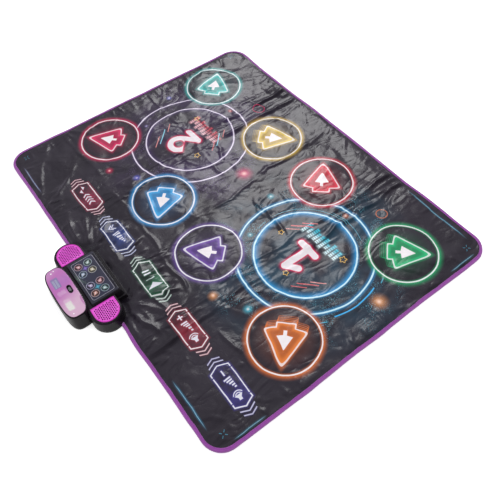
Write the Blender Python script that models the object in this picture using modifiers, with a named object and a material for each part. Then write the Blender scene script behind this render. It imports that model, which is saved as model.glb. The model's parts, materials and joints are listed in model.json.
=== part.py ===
"""Dance mat controller: a two-player floor mat with thirteen touch pads and a battery console.

Metres, +Z up. A player stands on the mat and faces +Y, where the console straddles the mat's edge.
The origin is on the floor, under the middle of the whole object's box. Values named _Y and _X in the
console's section are measured from the mat's +Y edge and from the console's own centre line.
"""

from math import ceil, cos, pi, sin, sqrt

import bmesh
import bpy
from mathutils import Matrix

CLEARANCE = 0.0003

# The mat's outline and its layers, from the floor up
MAT_WIDTH = 1.100
MAT_DEPTH = 0.850
MAT_CORNER = 0.052
BOTTOM_SHEET_THICK = 0.0008
PADDING_THICK = 0.0020
LOWER_FILM_THICK = 0.0003
SPACER_THICK = 0.0025
UPPER_FILM_THICK = 0.0003
TOP_SHEET_THICK = 0.0008
BINDING_WIDTH = 0.011
BINDING_THICK = 0.0008

# The touch pads
PAD_RADIUS = 0.089
PAD_SIDE_MARGIN = 0.037
PAD_MIDDLE_GAP = 0.046
PAD_BACK_MARGIN = 0.092
PAD_KEY_GAP = 0.047
PAD_STEPS = 32
LAYER_STEPS = 24
KEY_HALF_LENGTH = 0.059
KEY_SHOULDER = 0.048
KEY_HALF_HEIGHT = 0.026
KEY_SIDE_MARGIN = 0.053
KEY_PITCH = 0.174
KEY_CONSOLE_GAP = 0.041

# The console's place, walls and fastenings
CONSOLE_X = -0.015
BLOCK_Y = -0.0055
WALL = 0.0022
BLOCK_ROOF = 0.0035
CAP_ROOF = 0.0043
BOSS_RADIUS = 0.0035
BOSS_ROOM = 0.0025
SCREW_RADIUS = 0.0014
SCREW_TIP_RADIUS = 0.0007
SCREW_HEAD_RADIUS = 0.0026
SCREW_HEAD_HEIGHT = 0.0018
SCREW_REACH = 0.016
FOOT_HEIGHT = 0.0015
FOOT_RADIUS = 0.005
FOOT_RECESS = 0.0006
FLOOR_THICK = 0.0016
LEDGE = 0.006
SHEET_GRIP = 0.008
NOTCH_GAP = 0.0005

# The display block
ICON_GROUP_X = 0.0335
ICON_PITCH_X = 0.0265
ICON_PITCH_Y = 0.026
ICON_Y = -0.003
WINDOW_RADIUS = 0.009
BAFFLE_MARGIN = 0.0042
BAFFLE_THICK = 0.003
BLOCK_END_ROOM = 0.0101
BLOCK_CORNER = 0.005
BLOCK_DRAFT = 0.009
PANEL_THICK = 0.0015
PANEL_RIM_X = 0.0042
PANEL_RIM_Y = 0.0025
PANEL_CORNER = 0.003
BOARD_THICK = 0.0016
LED_HALF = 0.0025
LED_HEIGHT = 0.0018

# The speaker lobes
SPEAKER_RADIUS = 0.024
SPEAKER_HEIGHT = 0.0175
SPEAKER_RIM = 0.002
MAGNET_RADIUS = 0.0144
SPEAKER_NECK = 0.0114
CONE_CUP_RADIUS = 0.007
CONE_EDGE_ROOM = 0.003
CONE_TRAVEL = 0.001
LOBE_BOSS_ROOM = 0.0018
LOBE_Y = 0.012
LOBE_RISE = 0.028
LOBE_DRAFT = 0.0035
GRILLE_SIDE_GAP = 0.002
GRILLE_STRAIGHT = 0.0253
GRILLE_RIM = 0.004
GRILLE_THICK = 0.0012
GRILLE_HOLE_RADIUS = 0.0023
GRILLE_HOLE_PITCH = 0.0096

# The battery bay and its sliding door
CELL_RADIUS = 0.00725
CELL_LENGTH = 0.0505
CELL_ROOM = 0.0005
CELL_NUB_RADIUS = 0.00275
CELL_NUB_HEIGHT = 0.001
CONTACT_ROOM = 0.0043
CONTACT_THICK = 0.0005
CONTACT_NUB_RADIUS = 0.002
BAY_WALL = 0.002
DOOR_THICK = 0.0013
DOOR_LEDGE_THICK = 0.0009
DOOR_LEDGE_WIDTH = 0.003
RAIL_WIDTH = 0.005
REAR_BOSS_ROOM = 0.0066

# The raised cap and its slide switch
BLOCK_STEP = 0.005
CAP_STEP = 0.004
CAP_VALLEY = 0.004
CAP_SIDE_ROOM = 0.0098
CAP_END_ROOM = 0.0038
CAP_POWER = 3.5
CAP_DRAFT_X = 0.008
CAP_DRAFT_Y = 0.003
CAP_RIM = 0.0026
CAP_RECESS = 0.002
CAP_THICK = 0.002
CAP_CROWN = 0.0011
SWITCH_Y = -0.0123
SWITCH_TRAVEL = 0.004
KNOB_HALF_LENGTH = 0.0065
KNOB_HALF_WIDTH = 0.003
KNOB_RISE = 0.001
SLOT_RIM = 0.0022
STEM_HALF_LENGTH = 0.003
STEM_HALF_WIDTH = 0.002
SWITCH_BODY_HEIGHT = 0.007
SWITCH_BODY_WALL = 0.0035

# The main board and the ribbon that joins it to the mat
MAIN_BOARD_Z = 0.0103
MAIN_BOARD_HALF_X = 0.056
MAIN_BOARD_FRONT_Y = -0.036
MAIN_BOARD_REAR_Y = 0.030
POST_RADIUS = 0.003
POST_INSET = 0.006
RIBBON_WIDTH = 0.030
RIBBON_THICK = 0.0003
RIBBON_RISE = 0.0135

EDGE_FILLET = 0.003
FILLET_STEPS = 2
CORNER_STEPS = 6
CAP_STEPS = 28
ROUND_STEPS = 16
SMALL_STEPS = 8
WINDOW_STEPS = 12
OVERLAP = 0.0005

# Heights of the mat's layers
PADDING_Z = BOTTOM_SHEET_THICK + CLEARANCE
LOWER_FILM_Z = PADDING_Z + PADDING_THICK + CLEARANCE
SPACER_Z = LOWER_FILM_Z + LOWER_FILM_THICK + CLEARANCE
UPPER_FILM_Z = SPACER_Z + SPACER_THICK + CLEARANCE
TOP_SHEET_Z = UPPER_FILM_Z + UPPER_FILM_THICK + CLEARANCE
MAT_TOP = TOP_SHEET_Z + TOP_SHEET_THICK
BINDING_TOP = MAT_TOP + CLEARANCE + BINDING_THICK
LAYER_INSET = BINDING_THICK + CLEARANCE

# Heights in the console
SEAM_Z = MAT_TOP + CLEARANCE
LEDGE_TOP = TOP_SHEET_Z - CLEARANCE
LOBE_TOP = MAT_TOP + LOBE_RISE
BLOCK_TOP = LOBE_TOP + BLOCK_STEP
CAP_TOP = BLOCK_TOP + CAP_STEP
LOBE_CEILING = LOBE_TOP - WALL
BLOCK_CEILING = BLOCK_TOP - BLOCK_ROOF
CAP_CEILING = CAP_TOP - CAP_ROOF
BAFFLE_TOP = BLOCK_CEILING - CLEARANCE
LED_BOARD_TOP = BAFFLE_TOP - BAFFLE_THICK - CLEARANCE
BASE_FLOOR_TOP = FOOT_HEIGHT + FLOOR_THICK
TUNNEL_Z = FOOT_HEIGHT + DOOR_LEDGE_THICK
DOOR_Z = TUNNEL_Z + CLEARANCE
TUNNEL_TOP = DOOR_Z + DOOR_THICK + CLEARANCE
CELL_Z = TUNNEL_TOP + CLEARANCE + CELL_RADIUS
BAY_CEILING = CELL_Z + CELL_RADIUS + CLEARANCE
BAY_TOP = BAY_CEILING + BAY_WALL

# Plan sizes in the console, each drawn round what it holds
BAFFLE_HALF_X = ICON_GROUP_X + ICON_PITCH_X / 2 + WINDOW_RADIUS + BAFFLE_MARGIN
BAFFLE_HALF_Y = ICON_PITCH_Y / 2 + WINDOW_RADIUS + BAFFLE_MARGIN
FRONT_BOSS_X = BAFFLE_HALF_X + BOSS_ROOM + BOSS_RADIUS
FRONT_BOSS_Y = BLOCK_Y - BAFFLE_HALF_Y - CLEARANCE
BLOCK_HALF_X = FRONT_BOSS_X + BOSS_RADIUS + BOSS_ROOM + WALL
BLOCK_HALF_Y = BAFFLE_HALF_Y + BLOCK_END_ROOM + WALL
SPEAKER_X = BLOCK_HALF_X + GRILLE_SIDE_GAP + GRILLE_STRAIGHT
LOBE_RADIUS = SPEAKER_RADIUS + BOSS_ROOM + 2 * BOSS_RADIUS + LOBE_BOSS_ROOM + WALL
LOBE_BOSS_X = SPEAKER_X + SPEAKER_RADIUS + BOSS_ROOM + BOSS_RADIUS
CELL_Y = CELL_RADIUS + CELL_ROOM
BAY_INNER_X = CELL_LENGTH + CLEARANCE / 2 + CONTACT_ROOM
BAY_INNER_Y = CELL_Y + CELL_RADIUS + CELL_ROOM
TUNNEL_HALF_X = BAY_INNER_X + BAY_WALL
RAIL_HALF_X = TUNNEL_HALF_X + RAIL_WIDTH
REAR_BOSS_X = RAIL_HALF_X + REAR_BOSS_ROOM + BOSS_RADIUS
CAP_HALF_X = REAR_BOSS_X + BOSS_RADIUS + CAP_END_ROOM + WALL
CAP_HALF_Y = BAY_INNER_Y + BAY_WALL + CAP_SIDE_ROOM + WALL
CAP_Y = BLOCK_Y + BLOCK_HALF_Y + CAP_VALLEY + CAP_HALF_Y
CAP_BASE_HALF_Y = CAP_HALF_Y + CAP_DRAFT_Y
SLOT_HALF_LENGTH = KNOB_HALF_LENGTH + SWITCH_TRAVEL + CLEARANCE
SLOT_HALF_WIDTH = KNOB_HALF_WIDTH + CLEARANCE
BLOCK_REACH = BLOCK_HALF_Y + BLOCK_DRAFT - BLOCK_Y
LOBE_REACH = LOBE_RADIUS + LOBE_DRAFT - LOBE_Y
BLOCK_BASE_HALF_X = BLOCK_HALF_X + BLOCK_DRAFT
LOBE_BASE_HALF_X = SPEAKER_X + LOBE_RADIUS + LOBE_DRAFT

# The mat's centre lies back from the origin by half of what the console stands out
MAT_Y = -(CAP_Y + CAP_BASE_HALF_Y) / 2
EDGE_Y = MAT_Y + MAT_DEPTH / 2

# Where the pads lie on the mat
OUTER_PAD_X = MAT_WIDTH / 2 - PAD_SIDE_MARGIN - PAD_RADIUS
INNER_PAD_X = PAD_MIDDLE_GAP / 2 + PAD_RADIUS
KEY_Y = EDGE_Y - BLOCK_REACH - KEY_CONSOLE_GAP - KEY_HALF_HEIGHT
FRONT_PAD_Y = KEY_Y - KEY_HALF_HEIGHT - PAD_KEY_GAP - PAD_RADIUS
BACK_PAD_Y = MAT_Y - MAT_DEPTH / 2 + PAD_BACK_MARGIN + PAD_RADIUS
FIRST_KEY_X = -MAT_WIDTH / 2 + KEY_SIDE_MARGIN + KEY_HALF_LENGTH

ROUND_PADS = {
    "player_1_front_left": (-OUTER_PAD_X, FRONT_PAD_Y, (0.85, 0.30, 0.06)),
    "player_1_front_right": (-INNER_PAD_X, FRONT_PAD_Y, (0.42, 0.14, 0.75)),
    "player_1_back_left": (-OUTER_PAD_X, BACK_PAD_Y, (0.10, 0.62, 0.30)),
    "player_1_back_right": (-INNER_PAD_X, BACK_PAD_Y, (0.75, 0.10, 0.12)),
    "player_2_front_left": (INNER_PAD_X, FRONT_PAD_Y, (0.10, 0.32, 0.80)),
    "player_2_front_right": (OUTER_PAD_X, FRONT_PAD_Y, (0.75, 0.06, 0.30)),
    "player_2_back_left": (INNER_PAD_X, BACK_PAD_Y, (0.80, 0.62, 0.10)),
    "player_2_back_right": (OUTER_PAD_X, BACK_PAD_Y, (0.06, 0.55, 0.60)),
}
KEY_PADS = {
    "volume_down_key": (0.42, 0.20, 0.75),
    "volume_up_key": (0.75, 0.12, 0.16),
    "play_key": (0.12, 0.60, 0.35),
    "level_key": (0.12, 0.35, 0.80),
    "next_track_key": (0.75, 0.10, 0.35),
}

PARTS = "dance_mat_controller"
CUTTERS = "cutters"


def clear_scene():
    for obj in list(bpy.data.objects):
        bpy.data.objects.remove(obj)
    for name in (PARTS, CUTTERS):
        bpy.context.scene.collection.children.link(bpy.data.collections.new(name))


def material(name, colour, roughness, metallic=0.0, alpha=1.0):
    """A Principled material for one sub-part; alpha is below 1 on a see-through one."""
    found = bpy.data.materials.new(name)
    found.use_nodes = True
    shader = found.node_tree.nodes["Principled BSDF"]
    shader.inputs["Base Color"].default_value = (*colour, 1.0)
    shader.inputs["Roughness"].default_value = roughness
    shader.inputs["Metallic"].default_value = metallic
    shader.inputs["Alpha"].default_value = alpha
    found.diffuse_color = (*colour, 1.0)
    return found


def finish(obj, name, finish_of):
    """Names a sub-part, gives it its material and puts it with the parts."""
    obj.name = name
    obj.data.name = name
    obj.data.materials.clear()
    obj.data.materials.append(finish_of)
    move_to(obj, PARTS)
    return obj


def move_to(obj, collection):
    for old in list(obj.users_collection):
        old.objects.unlink(obj)
    bpy.data.collections[collection].objects.link(obj)


def smooth(obj, angle=0.6):
    obj.data.shade_smooth()
    obj.data.set_sharp_from_angle(angle=angle)
    return obj


def object_of(shape, name="shape"):
    """An object holding a bmesh; it waits with the cutters until finish() claims it."""
    mesh = bpy.data.meshes.new(name)
    shape.to_mesh(mesh)
    shape.free()
    obj = bpy.data.objects.new(name, mesh)
    bpy.data.collections[CUTTERS].objects.link(obj)
    return obj


def combine(obj, other, operation):
    """Cuts other from obj, joins it to obj or keeps what they share; other stays as a wire helper."""
    other.hide_render = True
    other.display_type = "WIRE"
    change = obj.modifiers.new(operation.lower(), "BOOLEAN")
    change.operation = operation
    change.object = other
    change.solver = "EXACT"
    return obj


def cut(obj, *others):
    for other in others:
        combine(obj, other, "DIFFERENCE")
    return obj


def join(obj, *others):
    for other in others:
        combine(obj, other, "UNION")
    return obj


def arc(centre, radius, start, end, steps):
    angles = [start + (end - start) * index / steps for index in range(steps + 1)]
    return [(centre[0] + radius * cos(a), centre[1] + radius * sin(a)) for a in angles]


def circle(centre, radius, steps):
    return arc(centre, radius, 0, 2 * pi, steps)[:-1]


def clear_circle(centre, radius):
    """A coarse circle whose flats clear a round piece of this radius."""
    return circle(centre, (radius + CLEARANCE) / cos(pi / SMALL_STEPS), SMALL_STEPS)


def rounded(half_x, half_y, radius, steps, centre):
    """A rectangle with round corners, anticlockwise; a radius of half_y makes a stadium."""
    x, y = half_x - radius, half_y - radius
    points = []
    for turn, (sx, sy) in enumerate(((1, 1), (-1, 1), (-1, -1), (1, -1))):
        start = turn * pi / 2
        corner = (centre[0] + sx * x, centre[1] + sy * y)
        points += arc(corner, radius, start, start + pi / 2, steps)
    return points


def superellipse(half_x, half_y, power, steps, centre):
    def reach(value):
        return abs(value) ** (2 / power) * (1 if value > 0 else -1)

    angles = [2 * pi * index / steps for index in range(steps)]
    return [(centre[0] + half_x * reach(cos(a)), centre[1] + half_y * reach(sin(a))) for a in angles]


def plate(outlines, bottom, top):
    """A flat plate from one outer outline and any holes, made from a filled 2D curve."""
    curve = bpy.data.curves.new("outline", "CURVE")
    curve.dimensions = "2D"
    curve.fill_mode = "BOTH"
    curve.extrude = (top - bottom) / 2
    for points in outlines:
        spline = curve.splines.new("POLY")
        spline.points.add(len(points) - 1)
        for point, (x, y) in zip(spline.points, points):
            point.co = (x, y, 0, 1)
        spline.use_cyclic_u = True
    guide = bpy.data.objects.new("outline", curve)
    guide.location.z = (top + bottom) / 2
    bpy.data.collections[CUTTERS].objects.link(guide)
    return solid_from(guide)


def solid_from(guide):
    """The closed mesh of a curve object, with its caps welded on, in place of the curve."""
    graph = bpy.context.evaluated_depsgraph_get()
    mesh = bpy.data.meshes.new_from_object(guide.evaluated_get(graph))
    obj = bpy.data.objects.new("solid", mesh)
    bpy.context.view_layer.update()
    obj.matrix_world = guide.matrix_world
    bpy.data.collections[CUTTERS].objects.link(obj)
    bpy.data.objects.remove(guide)
    shape = bmesh.new()
    shape.from_mesh(mesh)
    bmesh.ops.remove_doubles(shape, verts=shape.verts, dist=1e-6)
    bmesh.ops.recalc_face_normals(shape, faces=shape.faces)
    shape.to_mesh(mesh)
    shape.free()
    return obj


def extruded_x(points, low, high):
    """A profile drawn in the Y-Z plane and carried along X from low to high."""
    obj = plate([points], low, high)
    turn = Matrix(((0, 0, 1, 0), (1, 0, 0, 0), (0, 1, 0, 0), (0, 0, 0, 1)))
    obj.data.transform(turn @ obj.matrix_world)
    obj.matrix_world = Matrix()
    return obj


def block(low, high):
    shape = bmesh.new()
    size = [b - a for a, b in zip(low, high)]
    middle = [(a + b) / 2 for a, b in zip(low, high)]
    place = Matrix.Translation(middle) @ Matrix.Diagonal((*size, 1))
    bmesh.ops.create_cube(shape, size=1, matrix=place)
    return object_of(shape)


def cylinder(x, y, bottom, top, radius, steps=SMALL_STEPS):
    shape = bmesh.new()
    place = Matrix.Translation((x, y, (bottom + top) / 2))
    bmesh.ops.create_cone(
        shape,
        cap_ends=True,
        segments=steps,
        radius1=radius,
        radius2=radius,
        depth=top - bottom,
        matrix=place,
    )
    return object_of(shape)


def bore(x, y, bottom, top, radius):
    """A round cutter whose flats lie at radius, so that it clears a finer round piece."""
    return cylinder(x, y, bottom, top, radius / cos(pi / SMALL_STEPS))


def turned(profile, x, y, steps=ROUND_STEPS):
    """A turned solid about the vertical through x, y; the profile runs from top to bottom of its outside."""
    shape = bmesh.new()
    points = [shape.verts.new((radius, 0, height)) for radius, height in profile]
    for start, end in zip(points, points[1:]):
        shape.edges.new((start, end))
    obj = object_of(shape)
    obj.location = (x, y, 0)
    lathe = obj.modifiers.new("turn", "SCREW")
    lathe.steps = steps
    lathe.render_steps = steps
    lathe.use_merge_vertices = True
    lathe.merge_threshold = 0.00001
    return obj


def loft(sections):
    """A closed solid through sections of like count, each a list of points and a height."""
    shape = bmesh.new()
    rings = [[shape.verts.new((x, y, height)) for x, y in points] for points, height in sections]
    for lower, upper in zip(rings, rings[1:]):
        for index in range(len(lower)):
            after = (index + 1) % len(lower)
            shape.faces.new((lower[index], lower[after], upper[after], upper[index]))
    shape.faces.new(reversed(rings[0]))
    shape.faces.new(rings[-1])
    bmesh.ops.recalc_face_normals(shape, faces=shape.faces)
    return object_of(shape)


def moulding(outline, bottom, top, draft, fillet, inset=0.0):
    """A moulded block: outline(dx, dy) drawn in by the draft as it rises, then by the fillet."""
    draft_x, draft_y = draft
    sections = [(outline(inset, inset), bottom)]
    for step in range(FILLET_STEPS + 1):
        turn = pi / 2 * step / FILLET_STEPS
        drawn = inset + fillet * (1 - cos(turn))
        height = top - fillet * (1 - sin(turn))
        share = (height - bottom) / (top - bottom)
        sections.append((outline(drawn + draft_x * share, drawn + draft_y * share), height))
    return loft(sections)


# Outlines in plan, each narrowed by dx and dy from its size at the base
def lobe_outline(dx, dy):
    half_y = LOBE_RADIUS + LOBE_DRAFT - dy
    return rounded(LOBE_BASE_HALF_X - dx, half_y, half_y, CORNER_STEPS, (CONSOLE_X, EDGE_Y + LOBE_Y))


def block_outline(dx, dy):
    half_y = BLOCK_HALF_Y + BLOCK_DRAFT / 2 - dy
    centre = (CONSOLE_X, EDGE_Y + BLOCK_Y - BLOCK_DRAFT / 2)
    return rounded(BLOCK_BASE_HALF_X - dx, half_y, BLOCK_CORNER, FILLET_STEPS, centre)


def cap_outline(dx, dy):
    half_x, half_y = CAP_HALF_X + CAP_DRAFT_X - dx, CAP_BASE_HALF_Y - dy
    return superellipse(half_x, half_y, CAP_POWER, CAP_STEPS, (CONSOLE_X, EDGE_Y + CAP_Y))


def block_moulding(bottom, top, fillet, inset=0.0):
    """The display block, whose draft is on its front and sides and not on its rear."""
    obj = moulding(block_outline, bottom, top, (BLOCK_DRAFT, BLOCK_DRAFT / 2), fillet, inset)
    rear = EDGE_Y + BLOCK_Y + BLOCK_HALF_Y - inset
    for vertex in obj.data.vertices:
        share = (vertex.co.z - bottom) / (top - bottom)
        vertex.co.y += BLOCK_DRAFT / 2 * share
        vertex.co.y = min(vertex.co.y, rear)
    return obj


def console_mouldings(bottom, tops, inset, fillet):
    """The lobes, the display block and the cap, as three solids to be joined or cut."""
    lobes = moulding(lobe_outline, bottom, tops[0], (LOBE_DRAFT, LOBE_DRAFT), fillet, inset)
    middle = block_moulding(bottom, tops[1], fillet, inset)
    rear = moulding(cap_outline, bottom, tops[2], (CAP_DRAFT_X, CAP_DRAFT_Y), fillet, inset)
    return lobes, middle, rear


def console_prisms(bottom, top, inset):
    """The console's outline at its base, straight up from bottom to top, as three solids."""
    outlines = (lobe_outline(inset, inset), block_outline(inset, inset), cap_outline(inset, inset))
    return [loft([(points, bottom), (points, top)]) for points in outlines]


def console_point(x, y):
    return CONSOLE_X + x, EDGE_Y + y


def console_block(low, high):
    """A box given in the console's own plan places."""
    shift = (CONSOLE_X, EDGE_Y, 0)
    return block([a + b for a, b in zip(low, shift)], [a + b for a, b in zip(high, shift)])


def mat_outline(inset, notches=()):
    """The mat's outline drawn in by inset, with steps of (half width, depth) cut in its +Y edge."""
    half_x, half_y = MAT_WIDTH / 2 - inset, MAT_DEPTH / 2 - inset
    points = rounded(half_x, half_y, MAT_CORNER - inset, CORNER_STEPS, (0, MAT_Y))
    right, depths = [], [EDGE_Y - inset] + [EDGE_Y - depth for _, depth in notches]
    for (half, _), before, after in zip(notches, depths, depths[1:]):
        right += [(half, before), (half, after)]
    steps = [(CONSOLE_X + x, y) for x, y in right] + [(CONSOLE_X - x, y) for x, y in reversed(right)]
    first_corner = len(points) // 4
    return points[:first_corner] + steps + points[first_corner:]


def key_outline(x, grow):
    """A hexagon with its tips along X, drawn out by grow on every side."""
    tip, shoulder, half = KEY_HALF_LENGTH, KEY_SHOULDER, KEY_HALF_HEIGHT
    slope = sqrt((tip - shoulder) ** 2 + half**2)
    tip += grow * slope / half
    shoulder += grow * (slope - (tip - grow * slope / half - shoulder)) / half
    half += grow
    right = [(shoulder, -half), (tip, 0), (shoulder, half)]
    corners = right + [(-u, -v) for u, v in right]
    return [(x + u, KEY_Y + v) for u, v in corners]


def key_places():
    return {name: FIRST_KEY_X + KEY_PITCH * index for index, name in enumerate(KEY_PADS)}


def pad_holes(grow, steps):
    """The outlines of all thirteen pads, drawn out by grow; a coarser circle clears them with its flats."""
    radius = (PAD_RADIUS + grow) / (1 if steps == PAD_STEPS else cos(pi / steps))
    rounds = [circle((x, y), radius, steps) for x, y, _ in ROUND_PADS.values()]
    return rounds + [key_outline(x, grow) for x in key_places().values()]


def layer_notches():
    """The steps that clear the console's base out of the layers below the top sheet."""
    lobes = (LOBE_BASE_HALF_X + NOTCH_GAP, LOBE_REACH + NOTCH_GAP)
    return lobes, (BLOCK_BASE_HALF_X + NOTCH_GAP, BLOCK_REACH + NOTCH_GAP)


def make_layers():
    grip = [(BLOCK_BASE_HALF_X - SHEET_GRIP, BLOCK_REACH - SHEET_GRIP)]
    vinyl = material("printed_vinyl", (0.012, 0.012, 0.014), 0.28)
    outlines = [mat_outline(LAYER_INSET, grip)] + pad_holes(CLEARANCE, PAD_STEPS)
    sheet = plate(outlines, TOP_SHEET_Z, MAT_TOP)
    finish(sheet, "top_sheet", vinyl)
    holes = pad_holes(CLEARANCE, LAYER_STEPS)
    outline = mat_outline(LAYER_INSET, layer_notches())
    film = material("carbon_film", (0.02, 0.02, 0.025), 0.45)
    upper = plate([outline] + holes, UPPER_FILM_Z, UPPER_FILM_Z + UPPER_FILM_THICK)
    finish(upper, "upper_contact_film", film)
    spacer = plate([outline] + holes, SPACER_Z, SPACER_Z + SPACER_THICK)
    finish(spacer, "spacer_foam", material("spacer_foam", (0.75, 0.76, 0.74), 0.9))
    lower = plate([outline], LOWER_FILM_Z, LOWER_FILM_Z + LOWER_FILM_THICK)
    finish(lower, "lower_contact_film", material("track_film", (0.55, 0.52, 0.40), 0.4))
    padding = plate([outline], PADDING_Z, PADDING_Z + PADDING_THICK)
    finish(padding, "padding_foam", material("padding_foam", (0.20, 0.20, 0.21), 0.95))
    below = mat_outline(BINDING_WIDTH + CLEARANCE, layer_notches())
    grip_sheet = plate([below], 0, BOTTOM_SHEET_THICK)
    finish(grip_sheet, "bottom_sheet", material("grip_fabric", (0.03, 0.03, 0.03), 0.9))


def make_binding():
    """A folded tape round the edge, U-shaped in section, left open where the console sits."""
    tape = plate([mat_outline(0), mat_outline(BINDING_WIDTH)], 0, BINDING_TOP)
    roof, floor = BINDING_TOP - BINDING_THICK, BINDING_THICK
    fold = plate([mat_outline(BINDING_THICK), mat_outline(BINDING_WIDTH + OVERLAP)], floor, roof)
    gap_half = LOBE_BASE_HALF_X + NOTCH_GAP
    gap = console_block(
        (-gap_half, -BINDING_WIDTH - OVERLAP, -OVERLAP),
        (gap_half, OVERLAP, BINDING_TOP + OVERLAP),
    )
    cut(tape, fold, gap)
    finish(tape, "edge_binding", material("binding_tape", (0.30, 0.07, 0.36), 0.6))


def make_pads():
    """Each pad is its patch of printed vinyl with the upper contact bonded beneath it."""
    for name, (x, y, colour) in ROUND_PADS.items():
        pad = plate([circle((0, 0), PAD_RADIUS, PAD_STEPS)], UPPER_FILM_Z, MAT_TOP)
        pad.location.x, pad.location.y = x, y
        finish(pad, name + "_pad", material(name + "_print", colour, 0.3))
    for name, x in key_places().items():
        pad = plate([key_outline(x, 0)], UPPER_FILM_Z, MAT_TOP)
        finish(pad, name, material(name + "_print", KEY_PADS[name], 0.3))


def boss_places():
    """The six case screws: two at the block's front, two in the lobes and two beside the bay."""
    places = {}
    for side, sign in (("left", -1), ("right", 1)):
        places["front_" + side] = console_point(sign * FRONT_BOSS_X, FRONT_BOSS_Y)
        places["lobe_" + side] = console_point(sign * LOBE_BOSS_X, LOBE_Y)
        places["rear_" + side] = console_point(sign * REAR_BOSS_X, CAP_Y)
    return places


def boss_ceiling(name):
    return {"front": BLOCK_CEILING, "lobe": LOBE_CEILING, "rear": CAP_CEILING}[name.split("_")[0]]


def foot_places():
    rear_y = CAP_Y + CAP_HALF_Y - WALL - 2 * FOOT_RADIUS
    rear_x = REAR_BOSS_X
    front_x, front_y = FRONT_BOSS_X - BOSS_ROOM, FRONT_BOSS_Y + 2 * FOOT_RADIUS + BOSS_RADIUS
    places = {}
    for side, sign in (("left", -1), ("right", 1)):
        places["front_" + side] = console_point(sign * front_x, front_y)
        places["rear_" + side] = console_point(sign * rear_x, rear_y)
    return places


def post_places():
    """The posts that carry the main board, two of them with a screw."""
    x = MAIN_BOARD_HALF_X - POST_INSET
    low, high = MAIN_BOARD_FRONT_Y + POST_INSET, MAIN_BOARD_REAR_Y - POST_INSET
    return [console_point(*place) for place in ((-x, high), (x, low), (-x, low), (x, high))]


def led_screw_places():
    half = ICON_PITCH_Y / 2 + SCREW_HEAD_RADIUS
    return {"front": console_point(0, ICON_Y - half), "rear": console_point(0, ICON_Y + half)}


def icon_places():
    places = []
    for group in (-ICON_GROUP_X, ICON_GROUP_X):
        for dx in (-ICON_PITCH_X / 2, ICON_PITCH_X / 2):
            for dy in (-ICON_PITCH_Y / 2, ICON_PITCH_Y / 2):
                places.append(console_point(group + dx, ICON_Y + dy))
    return places


def make_base():
    bottom, top = FOOT_HEIGHT, SEAM_Z - CLEARANCE
    base, *others = console_prisms(bottom, top, 0)
    join(base, *others)
    cut(base, *console_prisms(BASE_FLOOR_TOP, top + OVERLAP, LEDGE))
    sheet_edge = CLEARANCE - LAYER_INSET
    reach = LOBE_BASE_HALF_X + OVERLAP
    cut(base, console_block((-reach, -BLOCK_REACH - OVERLAP, LEDGE_TOP), (reach, sheet_edge, top + OVERLAP)))
    bay_front = CAP_Y - BAY_INNER_Y - BAY_WALL
    bay_rear = CAP_Y + BAY_INNER_Y + BAY_WALL
    bay_half = BAY_INNER_X + BAY_WALL
    rails_rear = CAP_Y + CAP_BASE_HALF_Y - LEDGE + OVERLAP
    join(
        base,
        console_block((-RAIL_HALF_X, bay_front, bottom), (RAIL_HALF_X, rails_rear, top)),
        console_block((-bay_half, bay_front + OVERLAP, bottom + OVERLAP), (bay_half, bay_rear, BAY_TOP)),
    )
    door_front = bay_front + BAY_WALL
    beyond = CAP_Y + CAP_BASE_HALF_Y + OVERLAP
    opening_half = TUNNEL_HALF_X - DOOR_LEDGE_WIDTH
    cut(
        base,
        console_block((-TUNNEL_HALF_X, door_front, TUNNEL_Z), (TUNNEL_HALF_X, beyond, TUNNEL_TOP)),
        console_block(
            (-opening_half, door_front, bottom - OVERLAP),
            (opening_half, beyond, TUNNEL_TOP - OVERLAP),
        ),
        console_block(
            (-BAY_INNER_X, CAP_Y - BAY_INNER_Y, TUNNEL_Z + OVERLAP),
            (BAY_INNER_X, CAP_Y + BAY_INNER_Y, BAY_CEILING),
        ),
    )
    for x, y in boss_places().values():
        join(base, cylinder(x, y, bottom, top, BOSS_RADIUS + OVERLAP))
    for x, y in post_places():
        join(base, cylinder(x, y, bottom + OVERLAP, MAIN_BOARD_Z - CLEARANCE, POST_RADIUS))
    seat = FOOT_HEIGHT + CLEARANCE + SCREW_HEAD_HEIGHT + CLEARANCE
    for x, y in boss_places().values():
        cut(base, bore(x, y, bottom - OVERLAP, seat, SCREW_HEAD_RADIUS + CLEARANCE))
        cut(base, bore(x, y, bottom, top + OVERLAP, SCREW_RADIUS + CLEARANCE))
    for x, y in post_places()[:2]:
        hole_bottom = BASE_FLOOR_TOP + CLEARANCE
        cut(base, bore(x, y, hole_bottom, MAIN_BOARD_Z + OVERLAP, SCREW_RADIUS + CLEARANCE))
    for x, y in foot_places().values():
        cut(base, bore(x, y, bottom - OVERLAP, bottom + FOOT_RECESS + CLEARANCE, FOOT_RADIUS + CLEARANCE))
    slot_half = RIBBON_WIDTH / 2 + 2 * CLEARANCE
    cut(
        base,
        console_block(
            (-slot_half, -BLOCK_REACH - OVERLAP, BASE_FLOOR_TOP),
            (slot_half, LEDGE + OVERLAP - BLOCK_REACH, LOWER_FILM_Z + RIBBON_THICK + CLEARANCE),
        ),
    )
    finish(base, "base_shell", material("black_shell", (0.016, 0.016, 0.017), 0.42))


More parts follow.
